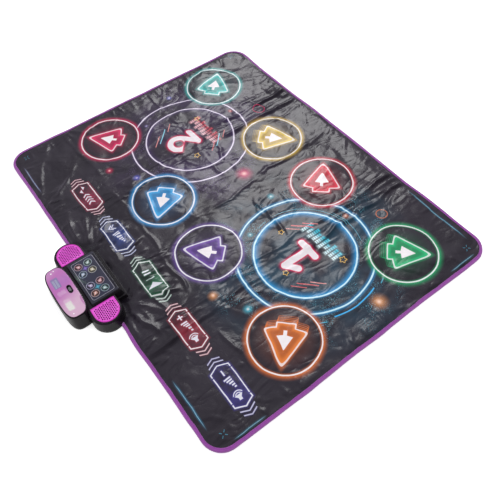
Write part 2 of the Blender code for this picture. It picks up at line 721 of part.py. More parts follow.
def make_top_shell():
    shell, *others = console_mouldings(SEAM_Z, (LOBE_TOP, BLOCK_TOP, CAP_TOP), 0, EDGE_FILLET)
    join(shell, *others)
    inner = (LOBE_CEILING, BLOCK_CEILING, CAP_CEILING)
    hollow = console_mouldings(SEAM_Z - OVERLAP, inner, WALL, max(EDGE_FILLET - WALL, OVERLAP))
    cut(shell, *hollow)
    for name, (x, y) in boss_places().items():
        join(shell, cylinder(x, y, SEAM_Z, boss_ceiling(name) + WALL / 2, BOSS_RADIUS))
        cut(shell, bore(x, y, SEAM_Z - OVERLAP, SEAM_Z + SCREW_REACH, SCREW_RADIUS + CLEARANCE))
    led_boss_z = LED_BOARD_TOP + CLEARANCE
    for x, y in led_screw_places().values():
        join(shell, cylinder(x, y, led_boss_z, BLOCK_CEILING + WALL / 2, BOSS_RADIUS))
        cut(shell, bore(x, y, led_boss_z - OVERLAP, BLOCK_CEILING + WALL / 3, SCREW_RADIUS + CLEARANCE))
    corner = PANEL_CORNER + CLEARANCE
    panel = rounded(*panel_half(CLEARANCE), corner, FILLET_STEPS, console_point(0, BLOCK_Y))
    cut(shell, plate([panel], BLOCK_TOP - PANEL_THICK, BLOCK_TOP + OVERLAP))
    for x, y in icon_places():
        cut(shell, cylinder(x, y, BLOCK_CEILING - OVERLAP, BLOCK_TOP, WINDOW_RADIUS, WINDOW_STEPS))
    for sign in (-1, 1):
        seat = grille_outline(sign, CLEARANCE)
        cut(shell, plate([seat], LOBE_TOP - GRILLE_THICK, LOBE_TOP + OVERLAP))
        x, y = console_point(sign * SPEAKER_X, LOBE_Y)
        mouth = SPEAKER_RADIUS - SPEAKER_RIM
        cut(shell, cylinder(x, y, LOBE_CEILING - OVERLAP, LOBE_TOP, mouth, ROUND_STEPS))
    rim = CAP_RIM - CLEARANCE
    recess = cap_outline(CAP_DRAFT_X + rim, CAP_DRAFT_Y + rim)
    cut(shell, plate([recess], CAP_TOP - CAP_RECESS, CAP_TOP + OVERLAP))
    x, y = console_point(0, CAP_Y + SWITCH_Y)
    bezel = rounded(*bezel_half(0), bezel_half(0)[1], CORNER_STEPS, (x, y))
    join(shell, plate([bezel], CAP_TOP - CAP_RECESS - OVERLAP, CAP_TOP + CLEARANCE))
    slot = rounded(SLOT_HALF_LENGTH, SLOT_HALF_WIDTH, OVERLAP, 1, (x, y))
    cut(shell, plate([slot], CAP_CEILING - OVERLAP, CAP_TOP + OVERLAP + CLEARANCE))
    finish(smooth(shell), "top_shell", material("black_shell_top", (0.014, 0.014, 0.015), 0.38))


def panel_half(grow):
    return BLOCK_HALF_X - PANEL_RIM_X + grow, BLOCK_HALF_Y - PANEL_RIM_Y + grow


def bezel_half(grow):
    return SLOT_HALF_LENGTH + SLOT_RIM + grow, SLOT_HALF_WIDTH + SLOT_RIM + grow


def grille_outline(sign, grow):
    """A D in plan: straight beside the display block, round over the lobe's end."""
    radius = LOBE_RADIUS - GRILLE_RIM + grow
    start = SPEAKER_X - GRILLE_STRAIGHT - grow
    end = arc((SPEAKER_X, 0), radius, -pi / 2, pi / 2, 2 * CORNER_STEPS)
    points = [(start, -radius)] + end + [(start, radius)]
    return [console_point(sign * x, LOBE_Y + y) for x, y in points]


def grille_holes(sign):
    """Staggered round holes over the D, each with its whole rim inside the margin."""
    radius = LOBE_RADIUS - GRILLE_RIM - 2 * GRILLE_HOLE_RADIUS
    start = SPEAKER_X - GRILLE_STRAIGHT + 2 * GRILLE_HOLE_RADIUS
    row_pitch = GRILLE_HOLE_PITCH * sqrt(3) / 2
    rows = ceil(radius / row_pitch)
    columns = ceil((SPEAKER_X + radius - start) / GRILLE_HOLE_PITCH)
    holes = []
    for row in range(-rows, rows + 1):
        y = row * row_pitch
        for column in range(columns + 1):
            x = start + GRILLE_HOLE_PITCH * (column + 0.5 * (row % 2))
            round_end = (x - SPEAKER_X) ** 2 + y**2 < radius**2
            if round_end or (x < SPEAKER_X and abs(y) < radius):
                place = console_point(sign * x, LOBE_Y + y)
                holes.append(circle(place, GRILLE_HOLE_RADIUS, CORNER_STEPS))
    return holes


def make_console_tops():
    """What shows on the console's top: the display panel, two grilles and the glossy cap."""
    panel = rounded(*panel_half(0), PANEL_CORNER, FILLET_STEPS, console_point(0, BLOCK_Y))
    top = BLOCK_TOP + CLEARANCE
    glass = material("smoked_panel", (0.03, 0.035, 0.05), 0.15)
    finish(plate([panel], top - PANEL_THICK, top), "display_panel", glass)
    for side, sign in (("left", -1), ("right", 1)):
        top = LOBE_TOP + CLEARANCE
        grille = plate([grille_outline(sign, 0)] + grille_holes(sign), top - GRILLE_THICK, top)
        finish(grille, "speaker_grille_" + side, material("magenta_grille", (0.72, 0.05, 0.55), 0.3))
    bottom = CAP_TOP - CAP_RECESS + CLEARANCE
    sections = [(cap_rim(0), bottom), (cap_rim(0), bottom + CAP_THICK)]
    for step in (1, 2):
        share = step / 3
        height = bottom + CAP_THICK + CAP_CROWN * (1 - (1 - share) ** 2)
        sections.append((cap_rim(share * CAP_HALF_Y), height))
    cap = loft(sections)
    x, y = console_point(0, CAP_Y + SWITCH_Y)
    hole = rounded(*bezel_half(CLEARANCE), bezel_half(CLEARANCE)[1], CORNER_STEPS, (x, y))
    cut(cap, plate([hole], bottom - OVERLAP, CAP_TOP + 2 * CAP_CROWN + CAP_THICK))
    finish(smooth(cap, 0.5), "console_cap", material("pink_gloss", (0.66, 0.22, 0.60), 0.08))


def cap_rim(drawn):
    return cap_outline(CAP_DRAFT_X + CAP_RIM + drawn, CAP_DRAFT_Y + CAP_RIM + drawn)


def make_display_lights():
    """The light baffle, and the board below it with one lamp in each of the baffle's eight cells."""
    half = (BAFFLE_HALF_X, BAFFLE_HALF_Y)
    outline = rounded(*half, OVERLAP, 1, console_point(0, ICON_Y))
    cells = [circle(place, WINDOW_RADIUS, WINDOW_STEPS) for place in icon_places()]
    bosses = [clear_circle(place, BOSS_RADIUS) for place in led_screw_places().values()]
    baffle = plate([outline] + cells + bosses, BAFFLE_TOP - BAFFLE_THICK, BAFFLE_TOP)
    finish(baffle, "light_baffle", material("white_baffle", (0.82, 0.82, 0.80), 0.5))
    holes = [clear_circle(place, SCREW_RADIUS) for place in led_screw_places().values()]
    board = plate([outline] + holes, LED_BOARD_TOP - BOARD_THICK, LED_BOARD_TOP)
    for x, y in icon_places():
        low = (x - LED_HALF, y - LED_HALF, LED_BOARD_TOP - OVERLAP)
        join(board, block(low, (x + LED_HALF, y + LED_HALF, LED_BOARD_TOP + LED_HEIGHT)))
    finish(board, "led_board", material("led_board", (0.03, 0.22, 0.10), 0.4))


def make_main_board():
    front, rear = MAIN_BOARD_FRONT_Y, MAIN_BOARD_REAR_Y
    middle = console_point(0, (front + rear) / 2)
    outline = rounded(MAIN_BOARD_HALF_X, (rear - front) / 2, OVERLAP, 1, middle)
    holes = [clear_circle(place, SCREW_RADIUS) for place in post_places()[:2]]
    top = MAIN_BOARD_Z + BOARD_THICK
    board = plate([outline] + holes, MAIN_BOARD_Z, top)
    half = RIBBON_WIDTH / 2 + OVERLAP
    socket_top = RIBBON_RISE + 2 * WALL
    socket = console_block((-half, front + OVERLAP, top - OVERLAP), (half, front + 2 * WALL, socket_top))
    chip = console_block((-POST_INSET, 0, top - OVERLAP), (POST_INSET, 2 * POST_INSET, top + WALL))
    join(board, socket, chip)
    finish(board, "main_board", material("main_board", (0.02, 0.18, 0.08), 0.4))


def make_ribbon():
    """The flat ribbon from the lower film's tail, through the base's front and up to the board."""
    start = EDGE_Y - BLOCK_REACH - NOTCH_GAP + CLEARANCE
    bend = EDGE_Y + MAIN_BOARD_FRONT_Y - 2 * WALL
    end = EDGE_Y + MAIN_BOARD_FRONT_Y + OVERLAP - CLEARANCE
    low, high = LOWER_FILM_Z, RIBBON_RISE
    profile = [
        (start, low),
        (bend + RIBBON_THICK, low),
        (bend + RIBBON_THICK, high),
        (end, high),
        (end, high + RIBBON_THICK),
        (bend, high + RIBBON_THICK),
        (bend, low + RIBBON_THICK),
        (start, low + RIBBON_THICK),
    ]
    half = RIBBON_WIDTH / 2
    ribbon = extruded_x(profile, CONSOLE_X - half, CONSOLE_X + half)
    finish(ribbon, "ribbon_cable", material("ribbon_film", (0.70, 0.68, 0.60), 0.4))


def make_speakers():
    """Each speaker is a basket with its magnet below and a cone that slides within its rim."""
    top = LOBE_CEILING - CLEARANCE
    rim_radius = SPEAKER_RADIUS - SPEAKER_RIM - CLEARANCE
    bowl = rim_radius - SPEAKER_RIM
    bottom = top - SPEAKER_HEIGHT
    neck = top - SPEAKER_NECK
    wall_z = top - SPEAKER_RIM - 2 * CONE_TRAVEL
    basket = [
        (0, neck + SPEAKER_RIM),
        (CONE_CUP_RADIUS + CLEARANCE, neck + SPEAKER_RIM),
        (bowl, wall_z - CONE_TRAVEL),
        (rim_radius, wall_z - CONE_TRAVEL),
        (rim_radius, top),
        (SPEAKER_RADIUS, top),
        (SPEAKER_RADIUS, top - SPEAKER_RIM),
        (rim_radius + CLEARANCE, wall_z - SPEAKER_RIM),
        (CONE_CUP_RADIUS + 2 * SPEAKER_RIM, neck),
        (MAGNET_RADIUS, neck - CLEARANCE),
        (MAGNET_RADIUS, bottom),
        (0, bottom),
    ]
    edge = rim_radius - CLEARANCE
    flank = bowl - CONE_EDGE_ROOM
    rest = top - 2 * CONE_TRAVEL
    cup = neck + 2 * SPEAKER_RIM + CONE_TRAVEL
    cone = [
        (0, cup + 2 * CONE_TRAVEL),
        (CONE_CUP_RADIUS, cup + CONE_TRAVEL),
        (flank, rest - CONE_TRAVEL),
        (edge - CONE_TRAVEL, rest),
        (edge, rest - CONE_TRAVEL / 2),
        (edge, rest - CONE_TRAVEL),
        (flank + CLEARANCE, rest - 2 * CONE_TRAVEL),
        (CONE_CUP_RADIUS + CLEARANCE, cup),
        (0, cup + CONE_TRAVEL),
    ]
    for side, sign in (("left", -1), ("right", 1)):
        x, y = console_point(sign * SPEAKER_X, LOBE_Y)
        frame = smooth(turned(basket, x, y))
        finish(frame, "speaker_basket_" + side, material("speaker_steel", (0.35, 0.35, 0.37), 0.35, 1.0))
        paper = smooth(turned(cone, x, y))
        finish(paper, "speaker_cone_" + side, material("cone_paper", (0.05, 0.05, 0.05), 0.85))


def make_switch():
    x, y = console_point(0, CAP_Y + SWITCH_Y)
    body_top = CAP_CEILING - CLEARANCE
    channel = STEM_HALF_LENGTH + SWITCH_TRAVEL + CLEARANCE
    channel_y = STEM_HALF_WIDTH + CLEARANCE
    half_x, half_y = channel + SWITCH_BODY_WALL, channel_y + SWITCH_BODY_WALL
    body = block((x - half_x, y - half_y, body_top - SWITCH_BODY_HEIGHT), (x + half_x, y + half_y, body_top))
    channel_z = body_top - SWITCH_BODY_HEIGHT + WALL
    channel_high = (x + channel, y + channel_y, body_top + OVERLAP)
    cut(body, block((x - channel, y - channel_y, channel_z), channel_high))
    finish(body, "switch_body", material("switch_steel", (0.5, 0.5, 0.52), 0.3, 1.0))
    low = (x - KNOB_HALF_LENGTH, y - KNOB_HALF_WIDTH, CAP_CEILING + CLEARANCE)
    knob = block(low, (x + KNOB_HALF_LENGTH, y + KNOB_HALF_WIDTH, CAP_TOP + KNOB_RISE))
    stem_low = (x - STEM_HALF_LENGTH, y - STEM_HALF_WIDTH, channel_z + CLEARANCE)
    join(knob, block(stem_low, (x + STEM_HALF_LENGTH, y + STEM_HALF_WIDTH, CAP_CEILING + WALL)))
    finish(knob, "switch_knob", material("knob_grey", (0.10, 0.10, 0.11), 0.4))


def make_batteries():
    """Four cells in two rows; the cells of a row point the same way, and the rows opposite ways."""
    silver = material("cell_wrap", (0.10, 0.30, 0.22), 0.35, 0.3)
    half = CELL_LENGTH / 2
    profile = [
        (0, half),
        (CELL_NUB_RADIUS, half),
        (CELL_NUB_RADIUS, half - CELL_NUB_HEIGHT),
        (CELL_RADIUS, half - CELL_NUB_HEIGHT),
        (CELL_RADIUS, -half),
        (0, -half),
    ]
    for row, side_y in (("front", -1), ("rear", 1)):
        for side, sign in (("left", -1), ("right", 1)):
            cell = smooth(turned(profile, 0, 0))
            x, y = console_point(sign * (half + CLEARANCE / 2), CAP_Y + side_y * CELL_Y)
            cell.location = (x, y, CELL_Z)
            cell.rotation_euler = (0, side_y * pi / 2, 0)
            finish(cell, f"battery_cell_{row}_{side}", silver)
    steel = material("contact_spring", (0.60, 0.60, 0.62), 0.25, 1.0)
    for side, sign in (("left", -1), ("right", 1)):
        make_contact(side, sign, steel)


def make_contact(side, sign, steel):
    """A contact plate at one end of the bay, with a boss that reaches to each cell."""
    wall = BAY_INNER_X - CLEARANCE
    face = wall - CONTACT_THICK
    low_z, high_z = TUNNEL_TOP + 2 * CLEARANCE, CELL_Z + CELL_RADIUS / 2
    xs = sorted((sign * face, sign * wall))
    half_y = CELL_Y + CELL_RADIUS / 2
    contact = console_block((xs[0], CAP_Y - half_y, low_z), (xs[1], CAP_Y + half_y, high_z))
    reach = face - CELL_LENGTH - 2 * CLEARANCE
    for side_y in (-1, 1):
        x, y = console_point(sign * (face - reach / 2 + OVERLAP / 4), CAP_Y + side_y * CELL_Y)
        nub = cylinder(0, 0, -reach / 2 - OVERLAP / 4, reach / 2 + OVERLAP / 4, CONTACT_NUB_RADIUS)
        nub.location = (x, y, CELL_Z)
        nub.rotation_euler = (0, pi / 2, 0)
        join(contact, nub)
    finish(contact, "battery_contact_" + side, steel)


def make_door():
    """A flat door that slides out to the rear, its edges held in the base's rails."""
    wide = TUNNEL_HALF_X - CLEARANCE
    narrow = wide - DOOR_LEDGE_WIDTH
    low, high = FOOT_HEIGHT, DOOR_Z + DOOR_THICK
    front = CAP_Y - BAY_INNER_Y + CLEARANCE
    beyond = CAP_Y + CAP_BASE_HALF_Y + OVERLAP
    door = console_block((-wide, front, DOOR_Z), (wide, beyond, high))
    join(door, console_block((-narrow, front, low), (narrow, beyond, high - OVERLAP)))
    outline = cap_outline(0, 0)
    combine(door, loft([(outline, low - OVERLAP), (outline, high + OVERLAP)]), "INTERSECT")
    finish(door, "battery_door", material("door_black", (0.018, 0.018, 0.019), 0.5))


def make_screw(name, x, y, head_z, shaft_top, steel):
    """A pan screw standing head down, with the top of its head at head_z."""
    profile = [
        (0, shaft_top),
        (SCREW_TIP_RADIUS, shaft_top),
        (SCREW_RADIUS, shaft_top - 2 * SCREW_RADIUS),
        (SCREW_RADIUS, head_z),
        (SCREW_HEAD_RADIUS, head_z),
        (SCREW_HEAD_RADIUS, head_z - SCREW_HEAD_HEIGHT + CLEARANCE),
        (SCREW_HEAD_RADIUS - CLEARANCE, head_z - SCREW_HEAD_HEIGHT),
        (0, head_z - SCREW_HEAD_HEIGHT),
    ]
    finish(smooth(turned(profile, x, y, SMALL_STEPS)), name, steel)


def make_fastenings():
    steel = material("screw_steel", (0.45, 0.45, 0.47), 0.3, 1.0)
    head = FOOT_HEIGHT + CLEARANCE + SCREW_HEAD_HEIGHT
    for name, (x, y) in boss_places().items():
        make_screw("case_screw_" + name, x, y, head, SEAM_Z + SCREW_REACH - CLEARANCE, steel)
    for side, (x, y) in zip(("left", "right"), post_places()):
        upside = MAIN_BOARD_Z + BOARD_THICK + CLEARANCE + SCREW_HEAD_HEIGHT
        make_screw_down("board_screw_" + side, x, y, upside, BASE_FLOOR_TOP + 2 * CLEARANCE, steel)
    for name, (x, y) in led_screw_places().items():
        head = LED_BOARD_TOP - BOARD_THICK - CLEARANCE
        make_screw("led_screw_" + name, x, y, head, BLOCK_CEILING - CLEARANCE, steel)
    rubber = material("foot_rubber", (0.03, 0.03, 0.03), 0.85)
    for name, (x, y) in foot_places().items():
        foot = cylinder(x, y, 0, FOOT_HEIGHT + FOOT_RECESS, FOOT_RADIUS, ROUND_STEPS)
        finish(smooth(foot), "rubber_foot_" + name, rubber)


def make_screw_down(name, x, y, head_top, tip, steel):
    """A pan screw driven from above, with the top of its head at head_top."""
    seat = head_top - SCREW_HEAD_HEIGHT
    profile = [
        (0, head_top),
        (SCREW_HEAD_RADIUS - CLEARANCE, head_top),
        (SCREW_HEAD_RADIUS, head_top - CLEARANCE),
        (SCREW_HEAD_RADIUS, seat),
        (SCREW_RADIUS, seat),
        (SCREW_RADIUS, tip + SCREW_RADIUS),
        (SCREW_TIP_RADIUS, tip),
        (0, tip),
    ]
    finish(smooth(turned(profile, x, y, SMALL_STEPS)), name, steel)


def main():
    clear_scene()
    make_layers()
    make_binding()
    make_pads()
    make_base()
    make_top_shell()
    make_console_tops()
    make_display_lights()
    make_main_board()
    make_ribbon()
    make_speakers()
    make_switch()
    make_batteries()
    make_door()
    make_fastenings()


main()
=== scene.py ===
"""The looks of a two-player dance mat controller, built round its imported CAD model.

Metres, in the CAD's own frame: +Z up, +X along the mat, +Y toward the console. Prints are drawn in
millimetres from the mat's middle.
"""

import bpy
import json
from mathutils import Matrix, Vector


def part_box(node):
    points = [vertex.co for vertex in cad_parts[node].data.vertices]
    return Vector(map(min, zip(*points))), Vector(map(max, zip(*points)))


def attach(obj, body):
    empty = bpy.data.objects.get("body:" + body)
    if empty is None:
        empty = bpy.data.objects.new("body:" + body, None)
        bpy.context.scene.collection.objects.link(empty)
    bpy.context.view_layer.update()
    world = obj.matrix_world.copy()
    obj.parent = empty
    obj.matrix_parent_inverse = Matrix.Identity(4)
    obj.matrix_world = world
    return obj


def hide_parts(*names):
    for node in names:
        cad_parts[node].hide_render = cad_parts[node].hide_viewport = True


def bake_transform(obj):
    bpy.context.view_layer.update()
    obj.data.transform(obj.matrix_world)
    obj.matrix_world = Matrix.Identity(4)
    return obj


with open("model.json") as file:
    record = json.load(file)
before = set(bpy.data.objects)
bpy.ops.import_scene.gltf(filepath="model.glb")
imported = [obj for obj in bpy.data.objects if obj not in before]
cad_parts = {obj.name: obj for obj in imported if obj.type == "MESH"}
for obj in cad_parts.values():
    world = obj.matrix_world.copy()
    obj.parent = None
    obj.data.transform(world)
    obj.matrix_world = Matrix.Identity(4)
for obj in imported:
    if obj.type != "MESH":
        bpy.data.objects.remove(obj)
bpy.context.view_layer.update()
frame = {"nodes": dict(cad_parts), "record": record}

import json
from math import cos, pi, radians, sin, sqrt

import bmesh
import bpy
import numpy as np
from mathutils import Matrix, Vector
from mathutils.geometry import delaunay_2d_cdt

# Sizes read from the CAD, and the plan values it was drawn with
MAT_LOW, MAT_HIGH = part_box("edge_binding")
MAT_HALF_X = (MAT_HIGH.x - MAT_LOW.x) / 2
MAT_HALF_Y = (MAT_HIGH.y - MAT_LOW.y) / 2
MAT_Y = (MAT_HIGH.y + MAT_LOW.y) / 2
EDGE_Y = MAT_HIGH.y
MAT_CORNER = 0.052
MAT_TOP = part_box("top_sheet")[1].z
SHEET_INSET = 0.0035  # how far the sheet ends within the mat's edge
PAD_RADIUS = 0.089
KEY_TIP, KEY_SHOULDER, KEY_HALF = 0.059, 0.048, 0.026
PAD_HOLD = PAD_RADIUS * 0.7  # the reach by which a pad's faces are shared among its four parts
SEAM = 0.00015  # half the gap between a pad and the sheet

CONSOLE_X = -0.015
BLOCK_BASE_X, BLOCK_FRONT, BLOCK_REAR = 0.08315, 0.053, 0.033
LOBE_BASE_X, LOBE_BASE_R, LOBE_Y = 0.14245, 0.041, 0.012
CAP_BASE_X, CAP_BASE_Y, CAP_Y = 0.08955, 0.0325, 0.0665
SEAM_Z = 0.0085
LOBE_TOP, BLOCK_TOP, CAP_TOP = 0.0362, 0.0412, 0.0452
WALL = 0.0022
CAP_RIM = 0.0028
BEAD_Z = 0.022
SHEET_SEAT = MAT_TOP - 0.0011  # the foot of the way through which the mat enters the console
DOOR_WAY_X, DOOR_WAY_TOP = 0.05695, 0.0043
SPEAKER_X = 0.10145
SWITCH_Y = CAP_Y - 0.0123

ROUND_PADS = {
    # name: x, y, print colour, arrow direction, echo lines
    "player_1_front_left_pad": (-0.424, 0.0935, (232, 118, 42), (-1, 1), 1),
    "player_1_front_right_pad": (-0.112, 0.0935, (104, 68, 156), (1, 1), 0),
    "player_1_back_left_pad": (-0.424, -0.2935, (30, 176, 112), (-1, -1), 0.8),
    "player_1_back_right_pad": (-0.112, -0.2935, (226, 54, 74), (1, -1), 0),
    "player_2_front_left_pad": (0.112, 0.0935, (54, 158, 228), (-1, 1), 0.45),
    "player_2_front_right_pad": (0.424, 0.0935, (216, 36, 92), (1, 1), 0),
    "player_2_back_left_pad": (0.112, -0.2935, (226, 186, 72), (-1, -1), 0.6),
    "player_2_back_right_pad": (0.424, -0.2935, (58, 182, 178), (1, -1), 0),
}
KEYS = {
    "volume_down_key": (-0.438, (92, 82, 190)),
    "volume_up_key": (-0.264, (206, 60, 84)),
    "play_key": (-0.090, (70, 150, 110)),
    "level_key": (0.084, (84, 108, 190)),
    "next_track_key": (0.258, (206, 58, 98)),
}
KEY_Y = 0.2555


# Small geometry helpers
def link(obj):
    """Puts an object into the scene."""
    bpy.context.scene.collection.objects.link(obj)
    return obj


def add_mesh(name, points, faces, smooth=True):
    """A new mesh object from points and faces that a rule has worked out."""
    mesh = bpy.data.meshes.new(name)
    mesh.from_pydata([tuple(p) for p in points], [], [tuple(int(i) for i in f) for f in faces])
    mesh.validate()
    if smooth:
        mesh.shade_smooth()
    return link(bpy.data.objects.new(name, mesh))


def turn_outward(mesh, weld=None):
    """Turns every face outward, after welding points that lie closer than weld, if one is given."""
    shape = bmesh.new()
    shape.from_mesh(mesh)
    if weld:
        bmesh.ops.remove_doubles(shape, verts=shape.verts, dist=weld)
    bmesh.ops.recalc_face_normals(shape, faces=shape.faces)
    shape.to_mesh(mesh)
    shape.free()


def baked_mesh(obj):
    """The mesh of a curve, or of an object with its modifiers applied."""
    bpy.context.view_layer.update()
    graph = bpy.context.evaluated_depsgraph_get()
    return bpy.data.meshes.new_from_object(obj.evaluated_get(graph))


def arc(centre, radius, start, end, steps):
    """The points of an arc, with both its ends."""
    angles = [start + (end - start) * index / steps for index in range(steps + 1)]
    return [(centre[0] + radius * cos(a), centre[1] + radius * sin(a)) for a in angles]


def rounded(half_x, half_y, radius, steps, centre=(0, 0)):
    """A rectangle with round corners, as points."""
    points = []
    for turn, (sx, sy) in enumerate(((1, 1), (-1, 1), (-1, -1), (1, -1))):
        corner = (centre[0] + sx * (half_x - radius), centre[1] + sy * (half_y - radius))
        points += arc(corner, radius, turn * pi / 2, (turn + 1) * pi / 2, steps)
    return points


def superellipse(half_x, half_y, power, steps, centre=(0, 0)):
    """An oval whose sides are flatter the higher its power."""
    def reach(value):
        return abs(value) ** (2 / power) * (1 if value > 0 else -1)

    angles = [2 * pi * index / steps for index in range(steps)]
    return [(centre[0] + half_x * reach(cos(a)), centre[1] + half_y * reach(sin(a))) for a in angles]


def ring_faces(rings, count, base=0):
    """The faces of a closed tube through rings of count points each, with a cap at each end."""
    faces = []
    for ring in range(rings - 1):
        a, b = base + ring * count, base + (ring + 1) * count
        for index in range(count):
            after = (index + 1) % count
            faces.append((a + index, a + after, b + after, b + index))
    last = base + (rings - 1) * count
    faces.append(tuple(reversed(range(base, base + count))))
    faces.append(tuple(range(last, last + count)))
    return faces


def loft(name, sections):
    """A closed solid through sections of like count, each a list of plan points and a height."""
    points = [(x, y, z) for outline, z in sections for x, y in outline]
    obj = add_mesh(name, points, ring_faces(len(sections), len(sections[0][0])))
    turn_outward(obj.data, weld=1e-7)
    return obj


def flat_curve(outlines, bottom, top):
    """A plate from one outline and its holes, as a mesh with its caps welded on."""
    curve = bpy.data.curves.new("outline", "CURVE")
    curve.dimensions = "2D"
    curve.fill_mode = "BOTH"
    curve.extrude = (top - bottom) / 2
    for points in outlines:
        spline = curve.splines.new("POLY")
        spline.points.add(len(points) - 1)
        for point, (x, y) in zip(spline.points, points):
            point.co = (x, y, 0, 1)
        spline.use_cyclic_u = True
    guide = link(bpy.data.objects.new("outline", curve))
    guide.location.z = (top + bottom) / 2
    mesh = baked_mesh(guide)
    mesh.transform(guide.matrix_world)
    bpy.data.objects.remove(guide)
    turn_outward(mesh, weld=1e-6)
    return link(bpy.data.objects.new("plate", mesh))


def boolean(obj, others, operation):
    """Applies one exact Boolean after another and removes the helpers."""
    for other in others:
        change = obj.modifiers.new("change", "BOOLEAN")
        change.operation = operation
        change.object = other
        change.solver = "EXACT"
    mesh = baked_mesh(obj)
    obj.modifiers.clear()
    obj.data = mesh
    for other in others:
        bpy.data.objects.remove(other)


def smooth_by_angle(obj, angle):
    """Shades a piece smooth, but sharp where its faces meet at more than the angle."""
    obj.data.shade_smooth()
    obj.data.set_sharp_from_angle(angle=angle)


REPLACED = set()


def place_piece(obj, name, material, body, slot, *nodes):
    """Gives a piece its name, material, body (none if it bends) and the CAD nodes it stands for; slot is not
    used.
    """
    obj.name = name
    obj.data.name = name
    obj.data.materials.clear()
    obj.data.materials.append(material)
    if body:
        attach(obj, body)
    if nodes:
        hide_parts(*nodes)
        REPLACED.update(nodes)
    return obj


def plan_box(node):
    """A CAD node's box: its middle and its half sizes in plan, its bottom and its top."""
    low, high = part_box(node)
    middle = ((low.x + high.x) / 2, (low.y + high.y) / 2)
    half = ((high.x - low.x) / 2, (high.y - low.y) / 2)
    return middle, half, low.z, high.z


def console_point(x, y):
    """A plan place that is given from the console's middle at the mat's edge."""
    return CONSOLE_X + x, EDGE_Y + y


# Node helpers: numbers in a material's node tree that Python's operators work on
class Num:
    """A number in the node tree in hand."""

    tree = None

    def __init__(self, socket):
        self.socket = socket

    @staticmethod
    def math(operation, *values, clamp=False):
        node = new_node("Math", operation=operation, use_clamp=clamp)
        for slot, value in zip(node.inputs, values):
            connect(slot, value)
        return Num(node.outputs[0])

    def __add__(self, other):
        return Num.math("ADD", self, other)

    __radd__ = __add__

    def __sub__(self, other):
        return Num.math("SUBTRACT", self, other)

    def __rsub__(self, other):
        return Num.math("SUBTRACT", other, self)

    def __mul__(self, other):
        return Num.math("MULTIPLY", self, other)

    __rmul__ = __mul__

    def __truediv__(self, other):
        return Num.math("DIVIDE", self, other)

    def __neg__(self):
        return Num.math("MULTIPLY", self, -1)

    def __abs__(self):
        return Num.math("ABSOLUTE", self)


def new_node(kind, **settings):
    """A new shader node in the tree in hand."""
    node = Num.tree.nodes.new("ShaderNode" + kind)
    for name, value in settings.items():
        setattr(node, name, value)
    return node


def connect(slot, value):
    """Links a number or a node's output to a slot, or writes a plain value into it."""
    if isinstance(value, Num):
        value = value.socket
    if isinstance(value, bpy.types.NodeSocket):
        Num.tree.links.new(value, slot)
    else:
        slot.default_value = value


def least(first, *others):
    """The smallest of some numbers."""
    for other in others:
        first = Num.math("MINIMUM", first, other)
    return first


def most(first, *others):
    """The largest of some numbers."""
    for other in others:
        first = Num.math("MAXIMUM", first, other)
    return first


def fill(node, values):
    """Connects values to a node's slots by their names."""
    for name, value in values.items():
        connect(node.inputs[name], value)


def parts_of(output, kind="SeparateXYZ"):
    """The three numbers of a vector's or a colour's output."""
    node = new_node(kind)
    connect(node.inputs[0], output)
    return [Num(part) for part in node.outputs]


def length(x, y):
    """The length of a pair of numbers, as a vector."""
    pair = new_node("CombineXYZ")
    fill(pair, {"X": x, "Y": y})
    size = new_node("VectorMath", operation="LENGTH")
    connect(size.inputs[0], pair.outputs[0])
    return Num(size.outputs["Value"])


def ease(value, low, high):
    """0 below low and 1 above high, with a smooth step between."""
    node = new_node("MapRange", interpolation_type="SMOOTHSTEP")
    for slot, part in zip(node.inputs, (value, low, high)):
        connect(slot, part)
    return Num(node.outputs[0])


def inside(distance, soft=0.45):
    """1 where a drawn shape's distance is below 0, with a soft edge in millimetres."""
    return 1 - ease(distance, -soft, soft)


def line(distance, half, soft=0.4):
    """1 on a drawn outline of a shape, half a line's width to each side."""
    return inside(abs(distance) - half, soft)


def glow(distance, reach, power=2.0):
    """1 at distance 0, falling to 0 at reach."""
    share = Num.math("SUBTRACT", 1, abs(distance) / reach, clamp=True)
    return Num.math("POWER", share, power)


def bar(x, y, a, b):
    """The distance from a point to the straight line between a and b."""
    dx, dy = b[0] - a[0], b[1] - a[1]
    size = dx * dx + dy * dy
    px, py = x - a[0], y - a[1]
    share = Num.math("DIVIDE", px * dx + py * dy, size, clamp=True)
    return length(px - share * dx, py - share * dy)


def box_shape(x, y, half_x, half_y):
    """The distance to a rectangle with sharp corners."""
    return most(abs(x) - half_x, abs(y) - half_y)


def paint(under, colour, share):
    """A colour with another laid over it by a share."""
    node = new_node("Mix", data_type="RGBA")
    connect(node.inputs[0], share)
    for slot, value in zip(node.inputs[6:8], (under, colour)):
        connect(slot, value if isinstance(value, Num) else (*value, 1.0))
    return Num(node.outputs[2])


def ink(red, green, blue):
    """A colour written as it looks on a screen, 0 to 255, as the linear values that a shader takes."""
    def linear(value):
        value /= 255
        return value / 12.92 if value <= 0.04045 else ((value + 0.055) / 1.055) ** 2.4

    return linear(red), linear(green), linear(blue)


def toned(colour, share):
    """A linear colour made darker or paler by a share."""
    return tuple(min(part * share, 1) for part in colour)


def new_material(name, roughness=0.5, metallic=0.0):
    material = bpy.data.materials.new(name)
    material.use_nodes = True
    Num.tree = material.node_tree
    shader = Num.tree.nodes["Principled BSDF"]
    fill(shader, {"Roughness": roughness, "Metallic": metallic})
    return material, shader


def object_place():
    """The output that gives a point's own place, which moves with its piece."""
    return new_node("TexCoord").outputs["Object"]


def place():
    """The point's own place in metres."""
    return parts_of(object_place())


